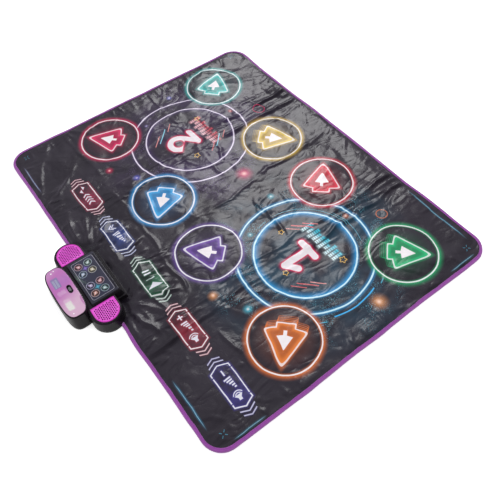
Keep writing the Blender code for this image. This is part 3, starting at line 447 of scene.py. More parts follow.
def noise(scale, detail=2.0, distortion=0.0, roughness=0.5, stretch=(1, 1, 1)):
    """Noise of 0 to 1 at the point's own place."""
    shift = new_node("Mapping")
    fill(shift, {"Vector": object_place(), "Scale": stretch})
    node = new_node("TexNoise")
    fill(node, {
        "Vector": shift.outputs[0], "Scale": scale, "Detail": detail,
        "Roughness": roughness, "Distortion": distortion,
    })
    return Num(node.outputs["Fac"])


def cells(scale, feature="F1", randomness=1.0):
    """The distance in a pattern of cells at the point's own place."""
    node = new_node("TexVoronoi", feature=feature)
    fill(node, {"Vector": object_place(), "Scale": scale, "Randomness": randomness})
    return Num(node.outputs["Distance"])


def bump(shader, height, distance):
    """Adds relief of some height to a shader, over any that it has."""
    node = new_node("Bump")
    fill(node, {"Distance": distance, "Strength": 1.0, "Height": height})
    if shader.inputs["Normal"].is_linked:
        connect(node.inputs["Normal"], shader.inputs["Normal"].links[0].from_socket)
    connect(shader.inputs["Normal"], node.outputs[0])


# Plain materials, each with its own grain
def moulded(name, colour, roughness, grain=0.00006, scale=1400, vary=0.12, specular=0.5):
    """Moulded plastic: a fine eroded texture, with slightly uneven sheen and colour."""
    material, shader = new_material(name)
    colour = ink(*colour)
    fill(shader, {
        "Base Color": paint(toned(colour, 1 - vary), toned(colour, 1 + vary), noise(40, 3)),
        "Roughness": roughness + (noise(160, 3) - 0.5) * 0.12,
        "Specular IOR Level": specular,
    })
    bump(shader, noise(scale, 4, roughness=0.7), grain)
    return material


def metal(name, colour, roughness, stretch=(1, 1, 1)):
    """Plated or stamped metal with fine streaks along its stretch."""
    material, shader = new_material(name, metallic=1.0)
    colour = ink(*colour)
    fill(shader, {
        "Base Color": paint(toned(colour, 0.85), colour, noise(300, 3, stretch=stretch)),
        "Roughness": roughness + (noise(500, 3, stretch=stretch) - 0.5) * 0.2,
    })
    bump(shader, noise(1800, 2, stretch=stretch), 0.00004)
    return material


def foam(name, colour):
    """Closed-cell foam: packed round cells with paler walls."""
    material, shader = new_material(name, roughness=0.9)
    wall = cells(900, "DISTANCE_TO_EDGE")
    colour = ink(*colour)
    shade = paint(toned(colour, 1.15), toned(colour, 0.8), ease(wall, 0.02, 0.3))
    connect(shader.inputs["Base Color"], shade)
    bump(shader, wall, 0.0003)
    return material


def woven(name, colour, pitch, roughness=0.75, sheen=0.3):
    """A plain weave of threads at the given pitch, with paler crowns and painted shade in the gaps between
    threads.
    """
    material, shader = new_material(name, roughness=roughness)
    x, y, z = place()
    across = Num.math("SINE", (x + y) * (pi / pitch))
    along = Num.math("SINE", (x - y + z * 1.3) * (pi / pitch))
    crown = abs(across * along)
    colour = ink(*colour)
    # Painted shade: darker in the gaps between the threads' crowns.
    shade = paint(toned(colour, 0.62), toned(colour, 1.12), crown)
    shade = paint(shade, toned(colour, 0.8), ease(noise(60, 3), 0.45, 0.8) * 0.5)
    fill(shader, {"Base Color": shade, "Sheen Weight": sheen})
    bump(shader, crown, 0.00025)
    return material


# The printed vinyl
VINYL, VINYL_PALE, WHITE = (27, 23, 31), (36, 31, 41), (248, 248, 252)
PRINT_STRAY = 6.5  # how far the print strays, in millimetres
LINE_HALF = 1.75  # half the width of a ring or an arrow's outline
DIAGONAL = 0.7071  # the sine of 45 degrees


def vinyl(name):
    """Soft glossy vinyl, black under the print, with fine grain and the small wrinkles of a folded film."""
    material, shader = new_material(name)
    base = paint(ink(*VINYL), ink(*VINYL_PALE), ease(noise(7, 4), 0.35, 0.7))
    connect(shader.inputs["Roughness"], 0.23 + (noise(26, 3, distortion=0.8) - 0.5) * 0.14)
    bump(shader, noise(11, 1, distortion=0.4), 0.006)
    ridges = abs(noise(15, 1, distortion=1.2, stretch=(1.3, 0.8, 1)) - 0.5)
    bump(shader, ridges, 0.0036)
    fine_ridges = abs(noise(46, 1, distortion=1.2, stretch=(1.3, 0.9, 1)) - 0.5)
    bump(shader, fine_ridges * ease(noise(8, 1), 0.4, 0.62), 0.0007)
    bump(shader, noise(1500, 2), 0.00005)
    return material, shader, base


def printed_place():
    """The print's own place in millimetres, which strays a little where the film is pulled and puckered."""
    x, y, _ = place()
    stray = new_node("TexNoise")
    fill(stray, {"Vector": object_place(), "Scale": 13, "Detail": 2})
    across, along, _ = parts_of(stray.outputs["Color"], "SeparateColor")
    return x * 1000 + (across - 0.5) * PRINT_STRAY, (y - MAT_Y) * 1000 + (along - 0.5) * PRINT_STRAY


def arrow_distance(u, v, tip, wing, notch, tail, soft=4.0):
    """The distance of an arrow that points along u: a round-cornered triangle head on a wide tail."""
    side = abs(v)
    slope_u, slope_v = wing[1], tip - wing[0]
    size = sqrt(slope_u**2 + slope_v**2)
    flank = ((u - tip) * slope_u + Num.math("SQRT", v * v + soft * soft) * slope_v) / size
    barb = notch - u + (side - tail[1]) * 0.2
    head = Num.math("SMOOTH_MAX", flank, barb, soft * 2.6)
    stem = Num.math("SMOOTH_MAX", tail[0] - u, side - tail[1], soft)
    return least(head, most(stem, flank))


LARGE_ARROW = (75, (-26, 55), -28, (-41.5, 23.5), 5.6)
SMALL_ARROW = (30, (-7, 20.5), -8, (-21, 4.2), 0.8)
RING_RADIUS = 86.8

# The print's plan: each player's circle, the middle of each half's pads, and the radii of rings and arcs
PLAYER_X, PLAYER_DOWN = 269, 50
PADS_X, PADS_DOWN, PADS_REACH_X, PADS_REACH_Y = 268, 50.5, 156, 193.5
INNER_RING, OUTER_RING, SIDE_ARC, THIN_ARC, LOWER_ARC = 133.5, 178.5, 196, 146, 152
BAR_STEP, RUNG_STEP = 13, 6.4
SPARKLE_X, SPARKLE_Y = 513, 379
ONE_STROKES = (((-26, 44), (2, 66)), ((2, 66), (2, -12)), ((-24, -12), (28, -12)))
TWO_STROKES = (((18.5, 24), (-24, -12)), ((-24, -12), (26, -12)))
RUST, PINK, SKY = (220, 104, 108), (234, 150, 148), (140, 210, 232)
STROKES = {
    # along the stroke, across it, half length, half width, colour: first player 1's, which lean one way
    -1: (
        (7, 103, 19.5, 0.9, RUST), (-14, 93, 27, 1.1, RUST), (-39, 85, 19.5, 1.0, PINK),
        (38, -72, 17.5, 1.0, PINK), (15, -84, 29, 1.6, RUST), (0, -94, 15, 1.3, RUST),
        (-15, -96, 10, 0.9, PINK),
    ),
    # then player 2's, which lean the other way
    1: (
        (-1, 86, 31, 1.2, SKY), (-25, 96, 22, 0.9, PINK), (38, 75, 18, 0.9, PINK), (0, -86, 26, 1.2, SKY),
        (-28, -76, 18, 0.9, RUST), (28, -99, 15, 0.9, PINK),
    ),
}
# x, y, size, whether it is player 2's
STARS = ((-17, 78, 8, 0), (88, 7, 8, 0), (-76, -61, 10, 0), (-74, 24, 8.5, 1), (59, -64, 8, 1))
# start x, y, end x, y, colour
FINE_LINES = (
    (-490, 402, -345, 402, (60, 160, 204)), (-537, 280, -537, 372, (60, 140, 170)),
    (-500, -402, -280, -402, (64, 160, 196)), (-536, -382, -536, -290, (60, 140, 170)),
    (350, 402, 485, 402, (140, 124, 176)),
)
# x, y, radius, colour
CIRCLES = ((-300, -290, 15, (196, 110, 74)), (243, -292, 18, (186, 40, 84)))
ROUND_LIGHTS = (
    (-228, 209, 17, (244, 164, 98)), (-487, -97, 28, (246, 164, 96)), (-246, -212, 13, (214, 124, 84)),
    (-310, 163, 16, (76, 196, 222)), (-136, 25, 11, (84, 190, 214)), (-66, -98, 14, (84, 196, 220)),
    (50, -92, 30, (238, 30, 110)), (308, 208, 15, (228, 40, 96)), (228, 160, 15, (92, 100, 226)),
    (400, 27, 8, (140, 130, 200)), (473, -100, 12, (96, 104, 210)), (292, -215, 10, (206, 60, 66)),
)


def pad_ring(shade, r, tint):
    """The ring of one round pad: a pale line with its colour glowing out of it, less on the inside."""
    off = r - RING_RADIUS
    outside = Num.math("GREATER_THAN", r, RING_RADIUS)
    shade = paint(shade, tint, glow(off, 16, 1.7) * outside * 0.9)
    shade = paint(shade, tint, glow(off, 7, 1.5) * 0.75)
    return paint(shade, paint(tint, ink(*WHITE), 0.86), line(off, LINE_HALF))


def pad_print(name, x0, y0, colour, direction, echo):
    """One round pad: a white ring with a coloured glow round an arrow that points outward."""
    material, shader, base = vinyl(name)
    px, py = printed_place()
    dx, dy = px - x0 * 1000, py - (y0 - MAT_Y) * 1000
    ux, uy = direction[0] / sqrt(2), direction[1] / sqrt(2)
    u, v = dx * ux + dy * uy, dy * ux - dx * uy
    r = length(dx, dy)
    tint, deep = ink(*colour), ink(*(c * 0.86 for c in colour))
    darkest = ink(*(c * 0.7 for c in colour))
    brightest = ink(*(min(c * 1.15 + 12, 255) for c in colour))
    shade = paint(base, tint, inside(r - 62, 26) * 0.07)
    distance = arrow_distance(u, v, *LARGE_ARROW)
    behind = (1 - ease(u, -22, 4)) * echo
    shade = paint(shade, tint, glow(most(distance, 0), 9, 1.7) * (0.75 - behind * 0.5))
    if echo:
        for shift, share in ((18, 0.4), (13.5, 0.6), (9, 0.8), (4.5, 0.9)):
            ghost = arrow_distance(u + shift, v - shift * 0.2, *LARGE_ARROW)
            shade = paint(shade, deep, inside(ghost) * behind * 0.12)
            shade = paint(shade, tint, line(ghost, 0.7) * behind * share)
    shade = paint(shade, deep, inside(distance))
    shade = paint(shade, darkest, inside(distance + 11, 5) * 0.5)
    shade = paint(shade, brightest, inside(distance) * glow(distance, 11, 1.2) * 0.9)
    shade = paint(shade, paint(tint, ink(*WHITE), 0.72), line(distance + 0.7, LINE_HALF))
    inner = arrow_distance(u, v, *SMALL_ARROW)
    shade = paint(shade, tint, glow(most(inner, 0), 6) * 0.5)
    shade = paint(shade, ink(246, 240, 244), inside(inner))
    connect(shader.inputs["Base Color"], pad_ring(shade, r, tint))
    return material


def key_distance(u, v):
    """The distance to a key's hexagon, in millimetres."""
    tip, shoulder, half = KEY_TIP * 1000, KEY_SHOULDER * 1000, KEY_HALF * 1000
    run = tip - shoulder
    size = sqrt(run**2 + half**2)
    flank = ((abs(u) - tip) * half + abs(v) * run) / size
    return most(flank, abs(v) - half)


def speaker_icon(u, v):
    """A speaker seen from the side with two sound waves."""
    body = box_shape(u + 7, v, 3.2, 4)
    cone = most(abs(v) - 3.5 - (u + 5) * 0.85, most(-4 - u, u - 3))
    first = most(abs(length(u + 1, v) - 8) - 1.1, 3.5 - u)
    second = most(abs(length(u + 1, v) - 13) - 1.1, 5 - u)
    return least(body, cone, first, second)


def level_steps(u, v, heights, pitch):
    """A row of bars on one base line."""
    first = -pitch * (len(heights) - 1) / 2
    return least(*(
        box_shape(u - first - pitch * index, v + 9 - tall, pitch * 0.3, tall)
        for index, tall in enumerate(heights)
    ))


def key_icon(name, u, v):
    """Each key's plain figures, as one distance."""
    if name.startswith("volume"):
        sign = box_shape(u - 33, v, 7.5, 1.6)
        if name == "volume_up_key":
            sign = least(sign, box_shape(u - 33, v, 1.6, 7.5))
        return least(speaker_icon(u + 30, v), level_steps(u - 4, v, (2.5, 4, 5.5, 7, 8.5), 6.2), sign)
    if name == "play_key":
        left = u + 20
        triangle = most((left + abs(v) * 0.75 - 8) * 0.8, -7 - left)
        divider = box_shape(u, v, 0.8, 11)
        return least(triangle, divider, box_shape(abs(u - 20) - 5, v, 2, 9))
    if name == "level_key":
        up = bar(abs(u - 31), v, (0, 8), (8, -1))
        down = bar(abs(u - 31), v, (0, 1), (8, -8))
        return least(level_steps(u + 12, v, (2, 3.5, 5, 6.5, 8, 9), 7.4), least(up, down) - 1.2)
    chevrons = [abs(u + abs(v) * 0.8 - shift) * 0.78 - 1.7 for shift in (-25, -14, -3, 8)]
    up = most((abs(u - 24) * 0.9 + v - 9) * 0.74, 2 - v)
    down = most((abs(u - 36) * 0.9 - v - 9) * 0.74, v + 2)
    return least(most(least(*chevrons), abs(v) - 9), up, down)


def key_rim(shade, u, v, tint):
    """A key's outline, broken near the ends of its long sides, with its colour glowing round it."""
    distance = key_distance(u, v)
    shade = paint(shade, tint, glow(distance + 1.6, 7, 1.6) * 0.5)
    gap = ease(abs(abs(u) - 37), 1.0, 1.7)
    return paint(shade, paint(tint, ink(*WHITE), 0.82), line(distance + 2, 1.4) * gap)


def key_print(name, x0, colour):
    """One key: an outline round a coloured field with its figures."""
    material, shader, base = vinyl(name + "_vinyl")
    px, py = printed_place()
    u, v = px - x0 * 1000, py - (KEY_Y - MAT_Y) * 1000
    distance = key_distance(u, v)
    tint = ink(*colour)
    field = ink(*(c * 0.56 for c in colour))
    patch = ease(noise(17, 3), 0.36, 0.62)
    toward = 1 - ease(u, -20, 52)
    shade = paint(base, field, inside(distance + 2) * (0.1 + patch * 0.32 + toward * 0.2))
    shade = paint(shade, tint, inside(distance + 2) * glow(u + 12, 42, 1.2) * patch * 0.4)
    shade = key_rim(shade, u, v, tint)
    figure = key_icon(name, u, v)
    shade = paint(shade, tint, glow(most(figure, 0), 4) * 0.5)
    shade = paint(shade, ink(226, 226, 238), inside(figure))
    connect(shader.inputs["Base Color"], shade)
    return material


def star_distance(u, v, radius):
    """A five-pointed star's outline, by how far its edge lies from the middle at each angle."""
    turn = Num.math("ARCTAN2", u, v) / (2 * pi / 5)
    point = Num.math("PINGPONG", turn, 0.5)
    return length(u, v) - radius * (1 - point * 0.95)


def sheet_print():
    """All that is printed outside the pads: rings, arcs, chevrons, lights and each player's numeral."""
    material, shader, base = vinyl("printed_vinyl")
    px, py = printed_place()
    wide, right = abs(px), Num.math("GREATER_THAN", px, 0)
    lx, ly = wide - PLAYER_X, py + PLAYER_DOWN
    r = length(lx * 1.012, ly)

    # The tinted haze and the fine dots round each player's circle
    haze = (1 - ease(r, 150, 330)) * ease(noise(9, 3), 0.36, 0.66)
    tint = paint(ink(24, 92, 118), ink(74, 46, 104), right)
    shade = paint(base, tint, haze * (0.36 - right * 0.1))
    for scale, size, share in ((230, 0.17, 0.85), (380, 0.21, 0.65)):
        dots = inside((cells(scale, randomness=0.95) - size) * 7, 0.5) * ease(noise(16, 2), 0.46, 0.56)
        dots = dots * ease(r, 134, 142) * (1 - ease(r, 210, 290)) * (1 - right * 0.4)
        shade = paint(shade, paint(ink(124, 212, 236), ink(164, 134, 206), right), dots * share)

    shade = player_rings(shade, lx, ly, r, right)
    shade = player_figures(shade, px, ly, right)
    shade = sheet_pad_rings(shade, wide, py, right)
    shade = sheet_key_rims(shade, px, py)
    shade = small_marks(shade, px, py)
    connect(shader.inputs["Base Color"], shade)
    return material


def sheet_pad_rings(shade, wide, py, right):
    """The glow of the pads' rings past their seams, folded over so that one ring serves all eight."""
    fold = length(abs(wide - PADS_X) - PADS_REACH_X, abs(py + PADS_DOWN) - PADS_REACH_Y)
    outer = Num.math("GREATER_THAN", wide, PADS_X)
    back = Num.math("LESS_THAN", py, -PADS_DOWN)

    def pair(player, side):
        front_tint, back_tint = (
            ink(*ROUND_PADS[f"player_{player}_{row}_{side}_pad"][2]) for row in ("front", "back")
        )
        return paint(front_tint, back_tint, back)

    first = paint(pair(1, "right"), pair(1, "left"), outer)
    second = paint(pair(2, "left"), pair(2, "right"), outer)
    return pad_ring(shade, fold, paint(first, second, right))


def sheet_key_rims(shade, px, py):
    """The keys' rims past their seams, and the chevrons beside them, folded over onto the nearest key."""
    places = [values[0] * 1000 for values in KEYS.values()]
    colours = [ink(*values[1]) for values in KEYS.values()]
    pitch = places[1] - places[0]
    order = most(least(Num.math("ROUND", (px - places[0]) / pitch), len(KEYS) - 1), 0)
    u, v = abs(px - places[0] - order * pitch), abs(py - (KEY_Y - MAT_Y) * 1000)
    tint = colours[0]
    for index, colour in enumerate(colours[1:], 1):
        tint = paint(tint, colour, Num.math("GREATER_THAN", order, index - 0.5))
    shade = key_rim(shade, u, v, tint)
    for place_u, tall, share in ((68.5, 20, 0.95), (78.5, 17.5, 0.85)):
        edge = (u + v * 0.423 - place_u) * 0.92
        short = 1 - ease(v, tall - 1, tall)
        shade = paint(shade, tint, glow(edge, 5) * short * 0.4)
        shade = paint(shade, paint(tint, ink(*WHITE), 0.6), line(edge, 1.3) * short * share)
    return shade


def player_rings(shade, lx, ly, r, right):
    """Two rings round each player, the glow inside the inner one, and broken arcs."""
    left, arc_ink = 1 - right, ink(104, 190, 218)
    tint = paint(ink(40, 156, 222), ink(88, 60, 132), right)
    pale = paint(ink(206, 242, 255), ink(238, 228, 248), right)
    within = Num.math("LESS_THAN", r, INNER_RING)
    shade = paint(shade, tint, glow(r - INNER_RING, 22, 1.8) * within * (left * 0.65 + 0.3))
    for radius, reach, power in ((INNER_RING, 8, 1.5), (OUTER_RING, 11, 1.6)):
        shade = paint(shade, tint, glow(r - radius, reach, power) * (left * 0.5 + 0.35))
        shade = paint(shade, pale, line(r - radius, 2.0) * (left * 0.08 + 0.92))
    outward = Num.math("GREATER_THAN", lx, 0) * left
    low = ease(ly, -66, -62) * (1 - ease(ly, 62, 66))
    shade = paint(shade, ink(64, 180, 244), line(r - SIDE_ARC, 1.7) * low * outward)
    for radius, low_end, high_end in ((204, 84, 110), (205, -104, -90)):
        part = ease(ly, low_end, low_end + 4) * (1 - ease(ly, high_end, high_end + 4))
        shade = paint(shade, ink(72, 182, 214), line(r - radius, 1.1) * part * outward * 0.9)
    inward = Num.math("LESS_THAN", lx, 0) * left
    faint = inward * (1 - ease(ly, -30, 4)) + inward * ease(ly, 16, 20) * (1 - ease(ly, 40, 50))
    shade = paint(shade, arc_ink, line(r - THIN_ARC, 0.6) * faint * 0.85)
    under = (1 - ease(ly, -146, -138)) * left
    return paint(shade, arc_ink, line(r - LOWER_ARC, 0.6) * under * 0.85)


def player_figures(shade, px, ly, right):
    """A plain numeral in each circle over level bars, with slanted strokes and small stars round it."""
    u = px - (right * (2 * PLAYER_X) - PLAYER_X)
    shade = numerals(shade, u, ly, right)
    shade = level_bars(shade, u, ly, right)
    for side, strokes in STROKES.items():
        along = (u - ly * side) * DIAGONAL
        across = (ly + u * side) * DIAGONAL
        share = right if side > 0 else 1 - right
        for s, t, half, width, colour in strokes:
            stroke = most(abs(across - t) - width, abs(along - s) - half)
            shade = paint(shade, ink(*colour), inside(stroke - 0.25) * share * 0.95)
    for x0, y0, size, on_right in STARS:
        star = star_distance(u - x0, ly - y0, size)
        share = right if on_right else 1 - right
        shade = paint(shade, ink(236, 190, 104), line(star, 1.1) * share)
    return shade


def numerals(shade, u, v, right):
    """A 1 in the left circle and a 2 in the right, pale with a crimson edge and glow."""
    crimson = ink(214, 44, 92)
    bow = most(abs(length(u, v - 41) - 25), (-v + 33 - u * 0.9) * 0.74)
    one = least(*(bar(u, v, *ends) for ends in ONE_STROKES))
    two = least(bow, *(bar(u, v, *ends) for ends in TWO_STROKES))
    numeral = one * (1 - right) + two * right - 9
    shade = paint(shade, crimson, glow(most(numeral, 0), 11, 1.6) * 0.6)
    shade = paint(shade, crimson, inside(numeral - 2.6))
    return paint(shade, ink(240, 232, 238), inside(numeral))


def level_bars(shade, u, v, right):
    """A row of ten bars of rungs below each numeral, cool on the left and warm on the right."""
    slot = Num.math("FLOOR", (u + 65) / BAR_STEP)
    middle = u + 65 - (slot + 0.5) * BAR_STEP
    tall = 8 + abs(Num.math("SINE", slot * 1.9 + 0.6)) * 12
    bars = most(abs(middle) - 4.2, abs(v + 56) - tall, abs(u) - 64)
    rungs = ease(Num.math("SINE", (v + 56) * (2 * pi / RUNG_STEP)), -0.8, -0.5)
    cool = paint(ink(64, 190, 214), ink(214, 240, 246), ease(v, -66, -46))
    warm = paint(ink(196, 70, 84), ink(232, 176, 186), ease(v, -66, -46))
    body = paint(cool, warm, right)
    shade = paint(shade, body, glow(most(bars, 0), 6) * 0.3)
    return paint(shade, body, inside(bars) * rungs)


def small_marks(shade, px, py):
    """Corner sparkles, fine glowing lines, small circles and round lights."""
    wide, tall = abs(px) - SPARKLE_X, abs(py) - SPARKLE_Y
    a, b = (wide + tall) * DIAGONAL, (wide - tall) * DIAGONAL
    sparkle = least(box_shape(a, abs(b) - 6.5, 0.7, 3), box_shape(b, abs(a) - 6.5, 0.7, 3))
    shade = paint(shade, ink(72, 150, 176), inside(sparkle) * 0.8)
    for x0, y0, x1, y1, colour in FINE_LINES:
        stroke = bar(px, py, (x0, y0), (x1, y1))
        half = max(abs(x1 - x0), abs(y1 - y0)) / 2
        fade = 1 - ease(length(px - (x0 + x1) / 2, py - (y0 + y1) / 2) / half, 0.5, 1.0)
        shade = paint(shade, ink(*colour), glow(stroke, 5, 2) * fade * 0.55)
        shade = paint(shade, ink(176, 218, 236), line(stroke, 0.35) * fade * 0.9)
    for x0, y0, radius, colour in CIRCLES:
        shade = paint(shade, ink(*colour), line(length(px - x0, py - y0) - radius, 1.3) * 0.85)
    for x0, y0, radius, colour in ROUND_LIGHTS:
        light = length(px - x0, py - y0)
        shade = paint(shade, ink(*colour), glow(light, radius * 1.1, 1.9))
        shade = paint(shade, ink(252, 232, 222), glow(light, radius * 0.36, 1.5) * 0.8)
    return shade


# The lie of the mat: one height for each place, shared by the sheet, its pads and its binding
CELL = 0.003
TINY = 1e-5  # the step over which a slope is measured
CONSOLE_LAP = 0.008  # how far the sheet runs in below the console
PAD_CROWN, KEY_CROWN = 0.0022, 0.0016


def value_noise(x, y, cell, seed):
    """Smooth noise of about -1 to 1 whose bumps are as wide as cell."""
    grid = np.random.default_rng(seed).uniform(-1, 1, (64, 64))
    u, v = x / cell + 32, y / cell + 32
    i, j = np.floor(u).astype(int), np.floor(v).astype(int)
    fu, fv = u - i, v - j
    fu, fv = fu * fu * (3 - 2 * fu), fv * fv * (3 - 2 * fv)
    a, b = grid[i % 64, j % 64], grid[(i + 1) % 64, j % 64]
    c, d = grid[i % 64, (j + 1) % 64], grid[(i + 1) % 64, (j + 1) % 64]
    return (a * (1 - fu) + b * fu) * (1 - fv) + (c * (1 - fu) + d * fu) * fv


def step_between(value, low, high):
    """0 below low and 1 above high, with a smooth step between."""
    share = np.clip((value - low) / (high - low), 0, 1)
    return share * share * (3 - 2 * share)


def grid_window(x, y, low, high):
    """The rows and the columns of the mat's grid that cover a box, as slices."""
    columns, rows = (
        slice(max(int((a - start) / CELL), 0), max(int((b - start) / CELL) + 2, 0))
        for a, b, start in zip(low, high, (x[0, 0], y[0, 0]))
    )
    return rows, columns


def crumple(x, y, spacing, seed):
    """Flat facets that meet in sharp folds between scattered points, as crumpled sheet has; -1 to 1."""
    rng = np.random.default_rng(seed)
    across, along = int(1.2 / spacing) + 2, int(1.0 / spacing) + 2
    points, heights = [], []
    for i in range(across):
        for j in range(along):
            jitter = rng.uniform(-0.46, 0.46, 2)
            points.append(((i + jitter[0]) * spacing - 0.62, (j + jitter[1]) * spacing - 0.52 + MAT_Y))
            heights.append(rng.uniform(-1, 1))
    triangles = delaunay_2d_cdt([Vector(p) for p in points], [], [], 0, 1e-7)[2]
    values = np.zeros_like(x)
    for a, b, c in triangles:
        corners = np.array([points[a], points[b], points[c]])
        part = grid_window(x, y, corners.min(0) - CELL, corners.max(0) + CELL)
        (ax, ay), (bx, by), (cx, cy) = corners
        dx, dy = x[part] - cx, y[part] - cy
        size = (by - cy) * (ax - cx) + (cx - bx) * (ay - cy)
        wa = ((by - cy) * dx + (cx - bx) * dy) / size
        wb = ((cy - ay) * dx + (ax - cx) * dy) / size
        wc = 1 - wa - wb
        within = (wa >= -1e-6) & (wb >= -1e-6) & (wc >= -1e-6)
        facet = wa * heights[a] + wb * heights[b] + wc * heights[c]
        values[part] = np.where(within, facet, values[part])
    return values


# Main folds: start x, y, end x, y (mm from the mat's middle), height, half width, wobble (mm)
FOLDS = (
    (-264, 424, -258, 150, 4.4, 11, 5), (-248, 260, -252, -60, 3.6, 9, 7),
    (-262, -40, -254, -424, 6.0, 11, 6), (-224, 424, -228, 190, 3.8, 9, 5),
    (-214, 200, -206, -160, 3.0, 9, 8), (-218, -120, -212, -424, 6.2, 11, 7),
    (-196, 380, -204, 200, 2.6, 8, 5), (-236, 40, -232, -300, 2.2, 7, 9),
    (-286, 120, -280, -160, 1.6, 8, 6), (196, 424, 190, 200, 4.2, 11, 6), (196, 230, 206, -40, 4.4, 10, 7),
    (208, -120, 214, -424, 7.6, 11, 4), (240, 400, 236, 120, 3.6, 10, 7), (234, 140, 250, -180, 3.8, 10, 8),
    (260, -140, 262, -424, 7.8, 11, 4), (290, -220, 296, -424, 2.6, 10, 6),
    (170, -250, 174, -424, 2.6, 9, 6), (150, 400, 160, 262, 3.4, 10, 6), (236, -260, 238, -424, 3.6, 9, 5),
    (-540, -58, -330, -54, 1.6, 9, 6), (-200, -50, -34, -58, 3.2, 10, 7), (76, -44, 330, -56, 3.6, 10, 8),
    (330, -60, 540, -50, 2.2, 9, 6), (-190, 246, 30, 238, 3.4, 8, 8), (-20, 232, 240, 240, 2.6, 8, 8),
    (300, 236, 540, 250, 1.8, 9, 6), (-430, 236, -300, 250, 1.8, 8, 5), (-60, 262, -20, 160, 2.6, 8, 7),
    (6, 150, 2, -20, 2.6, 9, 7), (20, -110, 34, -400, 3.6, 10, 8), (-10, 90, 18, -120, 2.4, 9, 6),
    (300, 380, 420, 250, 2.2, 11, 6), (330, 420, 540, 300, 2.2, 12, 6), (420, -30, 540, -130, 2.4, 10, 6),
    (330, -330, 440, -424, 2.8, 11, 6), (440, -330, 545, -210, 2.8, 11, 6),
    (80, -350, 180, -420, 2.6, 10, 6), (-90, -350, -20, -424, 2.0, 10, 6), (-540, 60, -470, 20, 2.0, 10, 4),
    (-540, -150, -500, -60, 2.0, 10, 4), (120, -60, 250, -140, 2.8, 10, 7), (150, 20, 110, -140, 2.6, 9, 6),
    (470, 160, 545, 240, 2.0, 10, 5),
    # From the console's front and corners outward
    (-112, 366, -166, 250, 7.5, 13, 5), (-92, 358, -100, 256, 4.6, 11, 5), (-62, 352, -84, 246, 4.8, 12, 6),
    (-16, 350, 2, 250, 4.4, 12, 5), (26, 352, 46, 244, 5.0, 12, 6), (62, 356, 104, 262, 5.8, 12, 5),
    (78, 366, 160, 292, 7.2, 13, 5), (96, 380, 210, 342, 7.0, 13, 5), (-120, 378, -215, 306, 8.2, 14, 5),
    (-134, 392, -250, 358, 6.8, 13, 4), (122, 398, 230, 386, 5.4, 13, 4), (-106, 344, -20, 338, 7.0, 17, 5),
    (-8, 336, 84, 342, 6.4, 16, 5), (-150, 404, -225, 400, 4.6, 11, 4), (130, 352, 200, 296, 4.6, 11, 5),
    (-90, 312, 60, 306, 3.6, 12, 8),
)


def small_folds():
    """Short folds: in bundles where the mat was folded, square to its border, off the console, and loose."""
    rng = np.random.default_rng(77)
    found = []

    def add(start, end, heights, widths, wobble, quiet=1.0):
        found.append((*start, *end, quiet * rng.uniform(*heights), rng.uniform(*widths), wobble))

    for middle, spread in ((-232, 24), (230, 30)):
        for _ in range(34):
            x, y = middle + rng.normal() * spread, rng.uniform(-410, 410)
            half, lean = rng.uniform(22, 80), rng.normal() * 7
            add((x - lean, y + half), (x + lean, y - half), (1.0, 3.0), (6, 9), 5)
    for side in (-1, 1):
        for _ in range(34):
            x, size, lean = rng.uniform(-500, 500), rng.uniform(22, 60), rng.normal() * 9
            add((x, side * 413), (x + lean, side * (413 - size)), (0.8, 2.6), (6, 9), 3)
        for _ in range(26):
            y, size, lean = rng.uniform(-370, 370), rng.uniform(22, 60), rng.normal() * 9
            add((side * 538, y), (side * (538 - size), y + lean), (0.8, 2.4), (6, 9), 3)
    for _ in range(30):
        turn, size = rng.uniform(-pi, 0), rng.uniform(50, 130)
        x, y = -15 + 130 * cos(turn), 392 + 62 * sin(turn)
        ahead = turn + rng.normal() * 0.2
        add((x, y), (x + size * cos(ahead), y + size * sin(ahead)), (1.8, 4.4), (8, 12), 6)
    for _ in range(120):
        x, y = rng.uniform(-530, 530), rng.uniform(-405, 405)
        turn, half = rng.uniform(-0.9, 0.9) + pi / 2, rng.uniform(14, 50)
        if rng.uniform() < 0.35:
            turn += pi / 2
        dx, dy = half * cos(turn), half * sin(turn)
        quiet = 0.55 if x < -300 or (x > 330 and y > 50) else 1.0
        add((x - dx, y - dy), (x + dx, y + dy), (0.8, 2.4), (7, 13), 6, quiet)
    return found


def crease(x, y, spec, seed):
    """One long fold: a tent in section whose line wanders and whose height fades at its ends."""
    x0, y0, x1, y1, height, half, wobble = (value / 1000 for value in spec)
    size = sqrt((x1 - x0) ** 2 + (y1 - y0) ** 2)
    ux, uy = (x1 - x0) / size, (y1 - y0) / size
    along = (x - x0) * ux + (y - MAT_Y - y0) * uy
    across = (y - MAT_Y - y0) * ux - (x - x0) * uy
    row = along * 0 + seed * 0.37
    broad, fine = value_noise(along, row, 0.045, seed), value_noise(along, -row, 0.016, seed + 7)
    wander = wobble * (broad + 0.35 * fine)
    strength = 0.65 + 0.5 * value_noise(along, row, 0.06, seed + 3)
    end = min(0.03, size * 0.4)
    fade = step_between(along, 0, end) * (1 - step_between(along, size - end, size))
    lean = 0.5 * value_noise(along, row, 0.08, seed + 11)
    distance = (across - wander) / half
    distance = np.where(distance > 0, distance / (1 + lean), distance / (1 - lean))
    tent = np.clip(1 - np.abs(distance), 0, 1)
    return height * strength * fade * tent * (0.75 + 0.25 * tent)


def all_folds(x, y):
    """The folds' heights at a regular grid: the highest of those that meet, and a part of the others."""
    total = np.zeros_like(x)
    for index, spec in enumerate([*FOLDS, *small_folds()]):
        x0, y0, x1, y1, _, half, wobble = spec
        margin = (half * 1.6 + wobble * 1.4) / 1000 + CELL
        low = (min(x0, x1) / 1000 - margin, min(y0, y1) / 1000 + MAT_Y - margin)
        high = (max(x0, x1) / 1000 + margin, max(y0, y1) / 1000 + MAT_Y + margin)
        part = grid_window(x, y, low, high)
        old, new = total[part], crease(x[part], y[part], spec, 100 + index * 13)
        total[part] = np.maximum(old, new) + 0.35 * np.minimum(old, new)
    return total


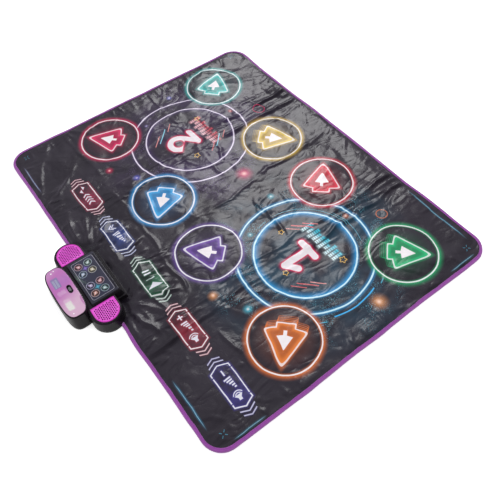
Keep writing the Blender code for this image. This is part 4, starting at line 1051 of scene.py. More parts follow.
def corner_distance(qx, qy):
    """How far a place lies outside a square corner, from how far it is past each side."""
    outside = np.sqrt(np.maximum(qx, 0) ** 2 + np.maximum(qy, 0) ** 2)
    return outside + np.minimum(np.maximum(qx, qy), 0)


def mat_distance(x, y, inset):
    """How far a place lies outside the mat's outline drawn in by inset; below 0 is within."""
    radius = MAT_CORNER - inset
    qx = np.abs(x) - (MAT_HALF_X - inset - radius)
    qy = np.abs(y - MAT_Y) - (MAT_HALF_Y - inset - radius)
    return corner_distance(qx, qy) - radius


def console_distance(x, y):
    """How far a place lies outside the console's base."""
    dx, dy = x - CONSOLE_X, y - EDGE_Y
    straight = LOBE_BASE_X - LOBE_BASE_R
    lobe = np.sqrt(np.maximum(np.abs(dx) - straight, 0) ** 2 + (dy - LOBE_Y) ** 2) - LOBE_BASE_R
    middle, half = (BLOCK_REAR - BLOCK_FRONT) / 2, (BLOCK_REAR + BLOCK_FRONT) / 2
    return np.minimum(lobe, corner_distance(np.abs(dx) - BLOCK_BASE_X, np.abs(dy - middle) - half))


def edge_lift(x, y):
    """How high the mat's border lies off the floor in its shallow waves."""
    lift = 0.0022 * np.clip(value_noise(x, y, 0.11, 41) + 0.15, 0, 1)
    near = step_between(mat_distance(x, y, 0), -0.075, -0.006)
    return lift * near * step_between(console_distance(x, y), 0.01, 0.07)


def edge_stray(x, y):
    """How far the border strays outward, as a pulled hem does; never into the layers."""
    stray = 0.0016 + 0.0024 * value_noise(x, y, 0.12, 51) + 0.0009 * value_noise(x, y, 0.045, 52)
    stray = np.maximum(stray, 0.0004)
    near = step_between(mat_distance(x, y, 0), -0.06, -0.004)
    return stray * near * step_between(console_distance(x, y), 0.008, 0.05)


def lie(x, y):
    """The top sheet's height over its flat place, at a regular grid of points."""
    height = 0.0007 * value_noise(x, y, 0.17, 5) + 0.0004 * value_noise(x, y, 0.07, 6)
    near_fold = np.exp(-(((x + 0.235) / 0.06) ** 2)) + np.exp(-(((x - 0.23) / 0.07) ** 2))
    far = step_between(x, -0.2, 0.4) * 0.5 + step_between(-(y - MAT_Y), 0.1, 0.42) * 0.35
    gap = np.maximum(console_distance(x, y), 0)
    rough = np.clip(0.4 + near_fold * 0.5 + far + np.exp(-((gap / 0.09) ** 2)) * 0.6, 0, 1.4)
    facets = 0.0034 * crumple(x, y, 0.058, 21) + 0.0008 * crumple(x, y, 0.026, 22)
    height = height + rough * (0.0018 + facets)
    height = height + all_folds(x, y)
    calm = step_between(gap, 0.001, 0.018)
    border = 1 - step_between(mat_distance(x, y, 0), -0.0175, -0.0098)
    height = np.maximum(height, -0.0009) * calm * border
    return height + edge_lift(x, y)


def pad_distances():
    """Each pad's name and the distance to its outline, at any points."""
    found = {}
    for name, values in ROUND_PADS.items():
        x0, y0 = values[:2]
        found[name] = lambda x, y, x0=x0, y0=y0: np.hypot(x - x0, y - y0) - PAD_RADIUS - SEAM
    run = KEY_TIP - KEY_SHOULDER
    size = sqrt(run**2 + KEY_HALF**2)
    for name, (x0, _) in KEYS.items():
        def distance(x, y, x0=x0):
            u, v = np.abs(x - x0), np.abs(y - KEY_Y)
            return np.maximum(((u - KEY_TIP) * KEY_HALF + v * run) / size, v - KEY_HALF) - SEAM
        found[name] = distance
    return found


def gradient(distance, x, y):
    """The way in which a distance grows, at each point."""
    gx = (distance(x + TINY, y) - distance(x - TINY, y)) / (2 * TINY)
    gy = (distance(x, y + TINY) - distance(x, y - TINY)) / (2 * TINY)
    return gx, gy


def push_out(x, y, out):
    """Moves points away from the mat's middle, square to its outline."""
    gx, gy = gradient(lambda x, y: mat_distance(x, y, 0), x, y)
    return x + gx * out, y + gy * out


def grid_faces(shape, sides):
    """A grid's squares, where those that an outline crosses are split in two triangles along it."""
    index = np.arange(shape[0] * shape[1]).reshape(shape)
    quads = np.stack([index[:-1, :-1], index[:-1, 1:], index[1:, 1:], index[1:, :-1]], -1).reshape(-1, 4)
    crossed, first = np.zeros(len(quads), bool), np.zeros(len(quads), bool)
    for values in sides.values():
        corner = values[quads]
        both = (corner.min(1) < 0) & (corner.max(1) > 0)
        crossed |= both
        first |= both & (corner[:, 0] == 0) & (corner[:, 2] == 0)
    split, by_first = quads[crossed], first[crossed][:, None]
    halves = np.concatenate([
        np.where(by_first, split[:, [0, 1, 2]], split[:, [1, 2, 3]]),
        np.where(by_first, split[:, [0, 2, 3]], split[:, [1, 3, 0]]),
    ])
    return quads[~crossed], halves


def sheet_shapes(pads):
    """One grid drawn onto every outline, and each point's side of it: -1 within, 0 on it, 1 outside."""
    xs = np.arange(-MAT_HALF_X - 2 * CELL, MAT_HALF_X + 3 * CELL, CELL)
    ys = np.arange(MAT_LOW.y - 2 * CELL, MAT_HIGH.y + 3 * CELL, CELL)
    x, y = np.meshgrid(xs, ys)
    outlines = {
        "edge": lambda x, y: mat_distance(x, y, SHEET_INSET),
        "console": lambda x, y: console_distance(x, y) + CONSOLE_LAP,
        **pads,
    }
    on_line = {}
    for name, distance in outlines.items():
        on_line[name] = np.abs(distance(x, y)) < CELL * 0.52
        for _ in range(4):
            away = distance(x, y)
            gx, gy = gradient(distance, x, y)
            size = np.maximum(gx**2 + gy**2, 1e-9)
            x = np.where(on_line[name], x - away * gx / size, x)
            y = np.where(on_line[name], y - away * gy / size, y)
    sides = {
        name: np.where(on_line[name], 0, np.sign(distance(x, y))).astype(int).ravel()
        for name, distance in outlines.items()
    }
    height = lie(x, y)
    faces = grid_faces(x.shape, sides)
    x, y = push_out(x, y, edge_stray(x, y))
    return x.ravel(), y.ravel(), MAT_TOP + height.ravel(), sides, faces


def keep_faces(faces, values, within):
    """The faces on one side of an outline: with no corner on its other side, and not all on it."""
    corner = values[faces]
    return (corner.max(1) <= 0) & (corner.min(1) < 0) if within else (corner.min(1) >= 0)


def compact(points, quads, triangles):
    """The points that the faces use, and the faces numbered anew."""
    used = np.unique(np.concatenate([quads.ravel(), triangles.ravel()]))
    order = np.full(len(points), -1)
    order[used] = np.arange(len(used))
    return points[used], [*order[quads].tolist(), *order[triangles].tolist()]


def make_sheet_and_pads():
    """The printed sheet, with a hole for each pad and key, and the patches of vinyl that fill them."""
    pads = pad_distances()
    x, y, z, sides, faces = sheet_shapes(pads)
    sheet_x, sheet_y = x.copy(), y.copy()
    pieces = []
    for name, distance in pads.items():
        rim = sides[name] == 0
        gx, gy = gradient(distance, x, y)
        sheet_x[rim] += gx[rim] * SEAM
        sheet_y[rim] += gy[rim] * SEAM
        reach, rise = (PAD_RADIUS, PAD_CROWN) if name in ROUND_PADS else (KEY_HALF, KEY_CROWN)
        share = np.clip(-distance(x, y) / reach, 0, 1)
        crown = rise * (1 - (1 - share) ** 2)
        points = np.stack([np.where(rim, x - gx * SEAM, x), np.where(rim, y - gy * SEAM, y), z + crown], -1)
        own = [part[keep_faces(part, sides[name], True)] for part in faces]
        pieces.append((name, *compact(points, *own)))
    kept = []
    for part in faces:
        keep = keep_faces(part, sides["edge"], True)
        for name in [*pads, "console"]:
            keep &= keep_faces(part, sides[name], False)
        kept.append(part[keep])
    sheet = add_mesh("printed_top", *compact(np.stack([sheet_x, sheet_y, z], -1), *kept))
    place_piece(sheet, "printed_top", sheet_print(), "mat", "printed_vinyl", "top_sheet")
    made = []
    for name, points, faces in pieces:
        if name in ROUND_PADS:
            x0, y0, colour, direction, echo = ROUND_PADS[name]
            material = pad_print(name + "_vinyl", x0, y0, colour, direction, echo)
            hold, give = (PAD_HOLD, PAD_HOLD), PAD_HOLD * 0.75
        else:
            x0, colour = KEYS[name]
            y0, material = KEY_Y, key_print(name, x0, colour)
            hold, give = (KEY_SHOULDER, KEY_HALF), KEY_HALF * 0.85
        made += pressed_parts(name, points, faces, material, (x0, y0), hold, give)
    return sheet, made


def pressed_parts(name, points, faces, material, centre, hold, give):
    """A pad in four parts, one toward each side, that keep the whole pad's smooth shading."""
    slot = next(entry["material_slot"] for entry in frame["record"]["subparts"] if entry["node"] == name)
    whole = add_mesh("whole", points, faces)
    normals = np.array([vertex.normal for vertex in whole.data.vertices])
    bpy.data.objects.remove(whole)
    middles = np.array([np.mean([points[i][:2] for i in face], axis=0) for face in faces]) - centre
    depth = (np.array(hold) - np.abs(middles)) / give
    along_x = depth[:, 0] < depth[:, 1]
    parts = []
    for way, axis, sign in (("left", 0, -1), ("right", 0, 1), ("rear", 1, 1), ("front", 1, -1)):
        mine = np.nonzero((along_x == (axis == 0)) & (middles[:, axis] * sign > 0))[0]
        used = sorted({i for index in mine for i in faces[index]})
        order = {old: new for new, old in enumerate(used)}
        part = add_mesh("part", points[used], [[order[i] for i in faces[index]] for index in mine])
        part.data.normals_split_custom_set_from_vertices([tuple(normal) for normal in normals[used]])
        place_piece(part, f"touch_{name}_{way}", material, None, slot, name)
        start, end = [*centre, MAT_TOP], [*centre, MAT_TOP]
        start[axis] += sign * hold[axis]
        end[axis] += sign * (hold[axis] - give)
        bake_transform(part)
        parts.append(part)
    return parts


def border_path(step):
    """Points round the mat's border from one side of the console to the other, and their outward way."""
    gap = LOBE_BASE_X - LOBE_BASE_R + sqrt(LOBE_BASE_R**2 - LOBE_Y**2)
    path = [(CONSOLE_X + gap, EDGE_Y)]
    for index, (sx, sy) in enumerate(((1, 1), (1, -1), (-1, -1), (-1, 1))):
        centre = (sx * (MAT_HALF_X - MAT_CORNER), MAT_Y + sy * (MAT_HALF_Y - MAT_CORNER))
        begin = pi / 2 - index * pi / 2
        path += arc(centre, MAT_CORNER, begin, begin - pi / 2, 24)
    path.append((CONSOLE_X - gap, EDGE_Y))
    path = np.array(path)
    size = np.hypot(*np.diff(path, axis=0).T)
    run = np.concatenate([[0], np.cumsum(size)])
    where = np.linspace(0, run[-1], int(run[-1] / step) + 1)
    x, y = np.interp(where, run, path[:, 0]), np.interp(where, run, path[:, 1])
    ahead = np.stack([np.gradient(x), np.gradient(y)], -1)
    ahead /= np.linalg.norm(ahead, axis=1)[:, None]
    out = np.stack([-ahead[:, 1], ahead[:, 0]], -1)
    path = np.stack([x, y], -1)
    return where, path + out * edge_stray(x, y)[:, None], ahead, out


STITCH, STITCH_RADIUS, STITCH_SIDES = 0.0051, 0.00034, 6
STITCH_HALF = STITCH * 0.37
STITCH_INSET, STITCH_TOP = 0.006, 0.0089
# along the stitch, share of its radius
STITCH_RINGS = ((-1.0, 0.35), (-0.7, 0.95), (0.0, 1.0), (0.7, 0.95), (1.0, 0.35))
# inward from the edge (mm), height (mm), share of the pucker, share of the drift
TAPE_PROFILE = (
    (8.6, 0.0, 0, 1), (5.0, 0.0, 0, 0), (2.4, 0.0, 0, 0), (0.9, 0.6, 0, 0), (0.15, 2.2, 0.3, 0.2),
    (0.0, 4.3, 0.6, 0.3), (0.2, 6.3, 0.5, 0.2), (0.9, 7.8, 0.3, 0), (2.2, 8.75, 0.5, 0), (3.8, 9.1, 1, 0),
    (5.1, 8.95, 0.6, 0), (6.0, 8.7, 0.2, 0), (6.9, 8.9, 0.6, 0), (7.8, 9.05, 1, 0.5), (8.5, 8.85, 0.6, 1),
    (8.7, 8.35, 0, 1), (6.0, 8.3, 0, 0), (2.6, 8.25, 0, 0), (1.1, 7.2, 0, 0), (0.95, 2.0, 0, 0),
    (2.6, 0.85, 0, 0), (8.6, 0.85, 0, 1),
)


def make_binding(tape):
    """The folded tape, puckered by its stitches."""
    where, path, _, out = border_path(STITCH / 3)
    x, y = path.T
    lift = edge_lift(x, y)
    pucker = np.cos(2 * pi * where / STITCH)
    drift, wave = (value_noise(where, where * 0, cell, seed) for cell, seed in ((0.02, 61), (0.05, 62)))
    points = []
    for inward, height, bend, loose in TAPE_PROFILE:
        shift = inward / 1000 + loose * 0.0007 * drift
        shift = shift - 0.0004 * wave * (inward < 3)
        # The lower fold stays on the floor and hides the layers
        raised = lift * min(max(height - 1, 0) / 7, 1)
        rise = height / 1000 + 0.00016 * bend * pucker * (height > 3) + raised
        rise = rise + 0.00022 * loose * drift * (height > 8)
        points.append(np.stack([x - out[:, 0] * shift, y - out[:, 1] * shift, np.maximum(rise, 0)], -1))
    points = np.stack(points, 1)
    for end, sign in ((0, 1), (-1, -1)):
        across = np.sqrt(LOBE_BASE_R**2 - (points[end, :, 1] - EDGE_Y - LOBE_Y) ** 2)
        points[end, :, 0] = CONSOLE_X + sign * (LOBE_BASE_X - LOBE_BASE_R + across - 0.0006)
    rows, columns = points.shape[:2]
    index = np.arange(rows * columns).reshape(rows, columns)
    after = np.roll(index, -1, axis=1)
    faces = np.stack([index[:-1], index[1:], after[1:], after[:-1]], -1).reshape(-1, 4).tolist()
    faces.append(list(range(columns)))
    faces.append(list(reversed(range((rows - 1) * columns, rows * columns))))
    binding = add_mesh("bound_edge", points.reshape(-1, 3), faces)
    turn_outward(binding.data)
    return place_piece(binding, "bound_edge", tape, "mat", "binding_tape", "edge_binding")


def make_stitches(thread):
    """The stitches along the tape, each a short bead of thread that sinks in at its ends."""
    _, path, ahead, out = border_path(STITCH)
    lift = edge_lift(*path.T)
    stitches, faces = [], []
    for place_on, way, forward, rise in zip(path[1:-1], out[1:-1], ahead[1:-1], lift[1:-1]):
        faces += ring_faces(len(STITCH_RINGS), STITCH_SIDES, len(stitches))
        centre = place_on - way * STITCH_INSET
        for share, size in STITCH_RINGS:
            sink = 0.00022 * share * share
            for turn in range(STITCH_SIDES):
                angle = 2 * pi * turn / STITCH_SIDES
                side = way * cos(angle) * STITCH_RADIUS * size
                up = sin(angle) * STITCH_RADIUS * size - sink
                middle = centre + forward * STITCH_HALF * share + side
                stitches.append((middle[0], middle[1], STITCH_TOP + rise + up))
    seam = add_mesh("edge_stitches", stitches, faces)
    turn_outward(seam.data)
    return place_piece(seam, "edge_stitches", thread, "mat", "binding_tape")


# The console
FILLET_STEPS = 6
OVERLAP = 0.0005  # how far a cut runs past what it cuts
SEAT_GAP = 0.0003  # the room round a seated piece
LOBE_DRAFT, BLOCK_DRAFT, CAP_DRAFT = (0.0035, 0.0035), (0.009, 0.0045), (0.008, 0.003)
BEZEL_X, BEZEL_Y = 0.0130, 0.0055
# The display's icons, in millimetres: the arrows, their reach from a group's middle, and the groups' colours
ICON_ARROW = (7.6, (-2.6, 5.6), -3.0, (-5.4, 2.5), 0.6)
ICON_INNER_ARROW = (2.4, (-0.9, 1.8), -1.1, (-2.2, 0.8), 0.2)
ICON_REACH_X, ICON_REACH_Y = 13.25, 13.0
ICON_GROUPS = (
    (-33.5, (84, 180, 206), ((196, 118, 84), (132, 112, 172), (84, 150, 146), (184, 96, 104))),
    (33.5, (142, 118, 208), ((116, 150, 180), (184, 96, 104), (178, 170, 120), (118, 164, 152))),
)


def lobe_outline(dx, dy):
    """The foot of the two lobes, drawn in by dx and dy."""
    half_y = LOBE_BASE_R - dy
    return rounded(LOBE_BASE_X - dx, half_y, half_y - 1e-5, 20, console_point(0, LOBE_Y))


def block_outline(dx, dy):
    """The foot of the display block, drawn in by dx and dy."""
    half = (BLOCK_FRONT + BLOCK_REAR) / 2 - dy
    middle = (BLOCK_REAR - BLOCK_FRONT) / 2
    return rounded(BLOCK_BASE_X - dx, half, 0.0055, 8, console_point(0, middle))


def cap_outline(dx, dy):
    """The foot of the rear oval, drawn in by dx and dy."""
    return superellipse(CAP_BASE_X - dx, CAP_BASE_Y - dy, 3.5, 120, console_point(0, CAP_Y))


def sections_of(outline, bottom, top, draft, fillet, inset=0.0):
    """A moulding's sections from its foot to its rounded upper edge."""
    draft_x, draft_y = draft
    found = [(outline(inset, inset), bottom)]
    for step in range(FILLET_STEPS + 1):
        turn = pi / 2 * step / FILLET_STEPS
        drawn = inset + fillet * (1 - cos(turn))
        height = top - fillet * (1 - sin(turn))
        share = (height - bottom) / (top - bottom)
        found.append((outline(drawn + draft_x * share, drawn + draft_y * share), height))
    return found


def block_solid(name, bottom, top, fillet, inset=0.0):
    """The display block: its draft is on its front and sides, and its rear stands upright."""
    sections = []
    rear = EDGE_Y + BLOCK_REAR - inset
    for outline, height in sections_of(block_outline, bottom, top, BLOCK_DRAFT, fillet, inset):
        share = (height - bottom) / (top - bottom)
        sections.append(([(x, min(y + BLOCK_DRAFT[1] * share, rear)) for x, y in outline], height))
    return loft(name, sections)


def three_solids(bottom, tops, inset, fillet):
    """The console's lobes, block and rear oval as solids that overlap."""
    return [
        loft("lobes", sections_of(lobe_outline, bottom, tops[0], LOBE_DRAFT, fillet, inset)),
        block_solid("block", bottom, tops[1], fillet * 1.35, inset),
        loft("rear", sections_of(cap_outline, bottom, tops[2], CAP_DRAFT, fillet, inset)),
    ]


GRILLE_RADIUS, GRILLE_Y, GRILLE_START, GRILLE_CORNER = 0.0318, LOBE_Y - 0.0014, SPEAKER_X - 0.0248, 0.003
GRILLE_RIM = 0.0026
# outward from the grille's outline, height over its plate
GRILLE_PROFILE = (
    (0, -0.0014), (0, 0.0003), (-0.0002, 0.0007), (-0.0007, 0.0011), (-0.0013, 0.0012), (-0.0020, 0.0008),
    (-GRILLE_RIM, -0.0002),
)


def grille_outline(sign, grow, steps=40):
    """A D: a half circle, with small round corners at its straight side."""
    radius, start, corner = GRILLE_RADIUS + grow, GRILLE_START - grow, max(GRILLE_CORNER + grow, 0.0005)
    points = arc((SPEAKER_X, 0), radius, -pi / 2, pi / 2, steps)
    points += arc((start + corner, radius - corner), corner, pi / 2, pi, 6)
    points += arc((start + corner, corner - radius), corner, pi, 3 * pi / 2, 6)
    points = [console_point(sign * px, GRILLE_Y + py) for px, py in points]
    return points if sign > 0 else points[::-1]


def switch_outline(drawn, radius, steps=12):
    """The round-ended outline of the switch's bezel, drawn in by some of its size."""
    return rounded(BEZEL_X - drawn, BEZEL_Y - drawn, radius, steps, console_point(0, SWITCH_Y))


def make_shell(black):
    """The console's upper moulding, hollow, with its seats for the panel, grilles, cap and switch."""
    shell, *others = three_solids(SEAM_Z, (LOBE_TOP, BLOCK_TOP, CAP_TOP), 0, 0.003)
    bead = loft("bead", [
        (block_outline(0.0018, 0.0018), BEAD_Z - 0.0008), (block_outline(0.0002, -0.0002), BEAD_Z - 0.0005),
        (block_outline(0.0002, -0.0002), BEAD_Z + 0.0005), (block_outline(0.0018, 0.0018), BEAD_Z + 0.0008),
    ])
    boolean(shell, [*others, bead], "UNION")
    ceilings = (LOBE_TOP - WALL, BLOCK_TOP - 0.0035, CAP_TOP - 0.0043)
    hollow = three_solids(SEAM_Z - OVERLAP, ceilings, WALL, 0.0008)
    middle, (half_x, half_y), _, _ = plan_box("display_panel")
    panel = rounded(half_x + SEAT_GAP, half_y + SEAT_GAP, 0.0033, 8, middle)
    cuts = [flat_curve([panel], BLOCK_TOP - 0.0015, BLOCK_TOP + OVERLAP)]
    for sign in (-1, 1):
        cuts.append(flat_curve([grille_outline(sign, SEAT_GAP)], LOBE_TOP - 0.0012, LOBE_TOP + OVERLAP))
        cuts.append(flat_curve([grille_outline(sign, -0.0045)], LOBE_TOP - 2 * WALL, LOBE_TOP))
    recess = cap_outline(*(draft + CAP_RIM for draft in CAP_DRAFT))
    cuts.append(flat_curve([recess], CAP_TOP - 0.002, CAP_TOP + OVERLAP))
    boolean(shell, hollow + cuts, "DIFFERENCE")
    bezel = loft("bezel", [
        (switch_outline(0, 0.00549), CAP_TOP - 0.002 - OVERLAP),
        (switch_outline(0, 0.00549), CAP_TOP + 0.0012),
        (switch_outline(0.0004, 0.00509), CAP_TOP + 0.0016),
    ])
    boolean(shell, [bezel], "UNION")
    slot = flat_curve([switch_outline(0.0022, 0.0032, 8)], CAP_TOP - 0.006, CAP_TOP + 0.004)
    boolean(shell, [slot], "DIFFERENCE")
    smooth_by_angle(shell, 0.5)
    place_piece(shell, "console_shell", black, "mat", "black_shell", "top_shell")


def make_base_rim(black):
    """The base's short wall, with the mat's way in and the door's way out cut in it."""
    proud, thick, bottom, top = 0.00012, 0.0006, 0.00148, 0.00819
    outlines = (lobe_outline, block_outline, cap_outline)
    rim, *others = (
        loft("rim", [(outline(-proud, -proud), z) for z in (bottom, top)]) for outline in outlines
    )
    boolean(rim, others, "UNION")
    hollow = [flat_curve([outline(thick, thick)], bottom - OVERLAP, top + OVERLAP) for outline in outlines]
    reach, low, far = LOBE_BASE_X + OVERLAP, -BLOCK_FRONT - OVERLAP, CAP_Y + CAP_BASE_Y + OVERLAP
    mat_way = (reach, low, -0.0008, SHEET_SEAT, top + OVERLAP)
    door_way = (DOOR_WAY_X, CAP_Y, far, bottom - OVERLAP, DOOR_WAY_TOP)
    for half, front, rear, under, over in (mat_way, door_way):
        sides = rounded(half, (rear - front) / 2, 1e-5, 1, console_point(0, (front + rear) / 2))
        hollow.append(flat_curve([sides], under, over))
    boolean(rim, hollow, "DIFFERENCE")
    smooth_by_angle(rim, 0.5)
    place_piece(rim, "base_rim", black, "mat", "black_shell")


def make_front_trim(black):
    """The ribbed strip along the block's front edge: flat-topped ribs that lean a little."""
    low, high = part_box("display_panel")
    pitch, half, rise, lean = 0.0036, 0.0010, 0.0006, 0.0009
    section = ((-half, 0.0), (-half * 0.6, rise), (half * 0.6, rise), (half, 0.0))
    count = int((high.x - low.x - 0.012) / pitch)
    start = (low.x + high.x) / 2 - (count - 1) * pitch / 2
    points, faces = [], []
    for index in range(count):
        faces += ring_faces(2, len(section), len(points))
        for y, shift in ((low.y + 0.0010, 0), (low.y + 0.0060, lean)):
            points += [(start + index * pitch + dx + shift, y, high.z - 0.00005 + dz) for dx, dz in section]
    ribs = add_mesh("display_ribs", points, faces, smooth=False)
    turn_outward(ribs.data)
    place_piece(ribs, "display_ribs", black, "mat", "black_shell")


def panel_icon(shade, u, v, direction, colour):
    """One lit disc of the display, with an arrow that points outward and a smaller one in it."""
    sx, sy = direction
    tint, r = ink(*colour), length(u, v)
    shade = paint(shade, ink(18, 19, 26), inside(r - 10.2, 0.2))
    shade = paint(shade, tint, glow(r - 9.2, 2.2, 1.5) * inside(r - 9.6, 0.2) * 0.3)
    shade = paint(shade, paint(tint, ink(176, 180, 196), 0.72), line(r - 10.1, 0.55, 0.2) * 0.9)
    out, side = (u * sx + v * sy) * DIAGONAL, (v * sx - u * sy) * DIAGONAL
    arrow = arrow_distance(out, side, *ICON_ARROW)
    shade = paint(shade, tint, glow(most(arrow, 0), 2.0) * 0.4)
    shade = paint(shade, paint(tint, ink(214, 206, 214), 0.34), inside(arrow, 0.25))
    inner = arrow_distance(out, side, *ICON_INNER_ARROW)
    return paint(shade, ink(240, 238, 242), inside(inner, 0.25) * 0.9)


def panel_print():
    """The display: a thin pale frame round two groups of four lit arrows on dark blue-grey."""
    material, shader = new_material("display_print", roughness=0.16)
    x, y, _ = place()
    px, py = (x - CONSOLE_X) * 1000, (y - EDGE_Y) * 1000
    shade = paint(ink(28, 32, 52), ink(38, 42, 64), ease(noise(30, 3), 0.3, 0.7))
    frame_line = rounded_box(px, py + 5.5, 63, 29, 5)
    shade = paint(shade, ink(22, 23, 30), inside(-frame_line) * 0.6)
    shade = paint(shade, ink(20, 21, 28), line(frame_line + 1.2, 0.5, 0.3) * 0.7)
    shade = paint(shade, ink(158, 156, 172), line(frame_line, 0.6, 0.25) * 0.9)
    for x0, spark, colours in ICON_GROUPS:
        u, v = px - x0, py + 3
        cross = Num.math("SQRT", abs(u)) + Num.math("SQRT", abs(v))
        shade = paint(shade, ink(*spark), (1 - ease(cross, 1.2, 4.6)) * 0.95)
        for (sx, sy), colour in zip(((-1, 1), (1, 1), (-1, -1), (1, -1)), colours):
            shade = panel_icon(shade, u - sx * ICON_REACH_X, v - sy * ICON_REACH_Y, (sx, sy), colour)
    fill(shader, {"Base Color": shade, "Coat Weight": 0.35, "Coat Roughness": 0.06})
    bump(shader, noise(900, 2), 0.000003)
    return material


def rounded_box(u, v, half_x, half_y, radius):
    """The distance to a rectangle with round corners."""
    qx, qy = abs(u) - (half_x - radius), abs(v) - (half_y - radius)
    return length(most(qx, 0), most(qy, 0)) + least(most(qx, qy), 0) - radius


def make_panel():
    """The display's window, with a fine bevel round its top."""
    middle, (half_x, half_y), bottom, top = plan_box("display_panel")
    edge = 0.0004
    panel = loft("display_window", [
        (rounded(half_x - drawn, half_y - drawn, 0.003, 10, middle), height)
        for drawn, height in ((0, bottom), (0, top - edge), (edge * 0.3, top - edge * 0.3), (edge, top))
    ])
    smooth_by_angle(panel, 0.3)
    place_piece(panel, "display_window", panel_print(), "mat", "smoked_panel", "display_panel")


def grille_holes(sign):
    """Staggered slanted rows of oval holes, as far as they fit in the D."""
    pitch_x, pitch_y, half_long, half_short, margin = 0.0056, 0.0048, 0.0022, 0.00172, 0.0056
    reach, lean = GRILLE_RADIUS - margin, radians(24) * sign
    holes = []
    for row in range(-8, 9):
        for column in range(-14, 15):
            hx = SPEAKER_X - 0.006 + column * pitch_x + (row % 2) * pitch_x / 2
            hy = row * pitch_y
            in_round_end = (hx - SPEAKER_X) ** 2 + hy**2 < reach**2
            in_straight = hx < SPEAKER_X and abs(hy) < reach
            if hx < GRILLE_START + margin or not (in_round_end or in_straight):
                continue
            x, y = console_point(sign * hx, GRILLE_Y + hy)
            holes.append([
                (x + u * half_long * cos(lean) - v * half_short * sin(lean),
                 y + u * half_long * sin(lean) + v * half_short * cos(lean))
                for u, v in arc((0, 0), 1, 0, 2 * pi, 10)[:-1]
            ])
    return holes


def make_grille(side, sign, gloss, hole_shade_felt):
    """One D-shaped grille: a raised glossy rim round a plate with its holes, over a dark cloth that stands in
    for the shade within the holes.
    """
    top = LOBE_TOP + 0.0003
    plate = flat_curve([grille_outline(sign, -GRILLE_RIM), *grille_holes(sign)], top - 0.0012, top)
    ring = loft("rim", [(grille_outline(sign, grow), top + rise) for grow, rise in GRILLE_PROFILE])
    opening = flat_curve([grille_outline(sign, -GRILLE_RIM + 0.00002)], top - 0.002, top + 0.004)
    boolean(ring, [opening], "DIFFERENCE")
    shape = bmesh.new()
    shape.from_mesh(plate.data)
    shape.from_mesh(ring.data)
    shape.to_mesh(plate.data)
    shape.free()
    bpy.data.objects.remove(ring)
    smooth_by_angle(plate, 0.5)
    # A dark cloth under the holes, put there as the shade within them.
    cloth = flat_curve([grille_outline(sign, -0.003)], LOBE_TOP - 0.0018, LOBE_TOP - 0.0014)
    place_piece(cloth, "hole_shade_cloth_" + side, hole_shade_felt, "mat", "black_shell")
    place_piece(plate, "grille_" + side, gloss, "mat", "magenta_grille", "speaker_grille_" + side)


def grille_paint():
    """Magenta paint under a clear coat, deeper on the raised rim."""
    material, shader = new_material("magenta_paint")
    z = place()[2]
    shade = paint(ink(232, 74, 214), ink(240, 100, 225), ease(noise(28, 2), 0.3, 0.7))
    fill(shader, {
        "Base Color": paint(shade, ink(220, 52, 198), ease(z, LOBE_TOP + 0.0005, LOBE_TOP + 0.0009)),
        "Roughness": 0.30 + (noise(200, 3) - 0.5) * 0.1, "Coat Weight": 0.7, "Coat Roughness": 0.08,
    })
    bump(shader, noise(1300, 3), 0.00003)
    return material


def cap_paint():
    """Pink gloss with painted reflections: it pales toward one end, and shows a bluish window with pale bars,
    a pale square, a darker crescent of painted shade and small white glints.
    """
    material, shader = new_material("cap_gloss", roughness=0.22)
    x, y, _ = place()
    px, py = (x - CONSOLE_X) * 1000, (y - EDGE_Y - CAP_Y) * 1000
    # The cap pales toward one end as a painted reflection.
    shade = paint(ink(216, 176, 204), ink(188, 106, 182), ease(px + py * 0.4, -50, 14))
    # Painted reflection of a bluish window, with pale bars in it.
    painted_window = rounded_box(px - 35, py - 8.5, 17, 9, 2.5)
    row = Num.math("PINGPONG", px - 20, 3.1)
    painted_window_bars = most(abs(row - 1.55) - 0.85, abs(abs(py - 9) - 3.4) - 2.4, abs(px - 33) - 13)
    for colour, share in (
        ((170, 114, 190), (1 - ease(length(px - 34, py + 12), 6, 26)) * 0.5),
        ((202, 148, 196), ease(px + py * 0.5, 54, 76) * 0.7),
        # Painted shade: a darker crescent along the block's side.
        ((168, 76, 160), (1 - ease(length(px + 48, (py + 25) * 3.2), 14, 20)) * 0.6),
        ((204, 140, 192), ease(noise(36, 3), 0.4, 0.75) * 0.2),
        # Painted reflection: the bluish window, then its pale bars.
        ((118, 122, 166), inside(painted_window, 1.2) * 0.75),
        ((176, 200, 206), inside(painted_window_bars, 0.5) * 0.7),
        # Painted reflection: a pale square.
        ((196, 200, 188), inside(rounded_box(px + 44, py - 8, 13, 7.5, 1), 0.8) * 0.5),
    ):
        shade = paint(shade, ink(*colour), share)
    # Painted glints: small white dots where the cap shows highlights.
    for x0, y0, radius in ((68.3, 6.3, 1.9), (72, -1.6, 1.5), (-68, 10.1, 1.7)):
        shade = paint(shade, ink(250, 246, 252), inside(length(px - x0, py - y0) - radius, 0.5))
    fill(shader, {"Base Color": shade, "Coat Weight": 1.0, "Coat Roughness": 0.015})
    return material


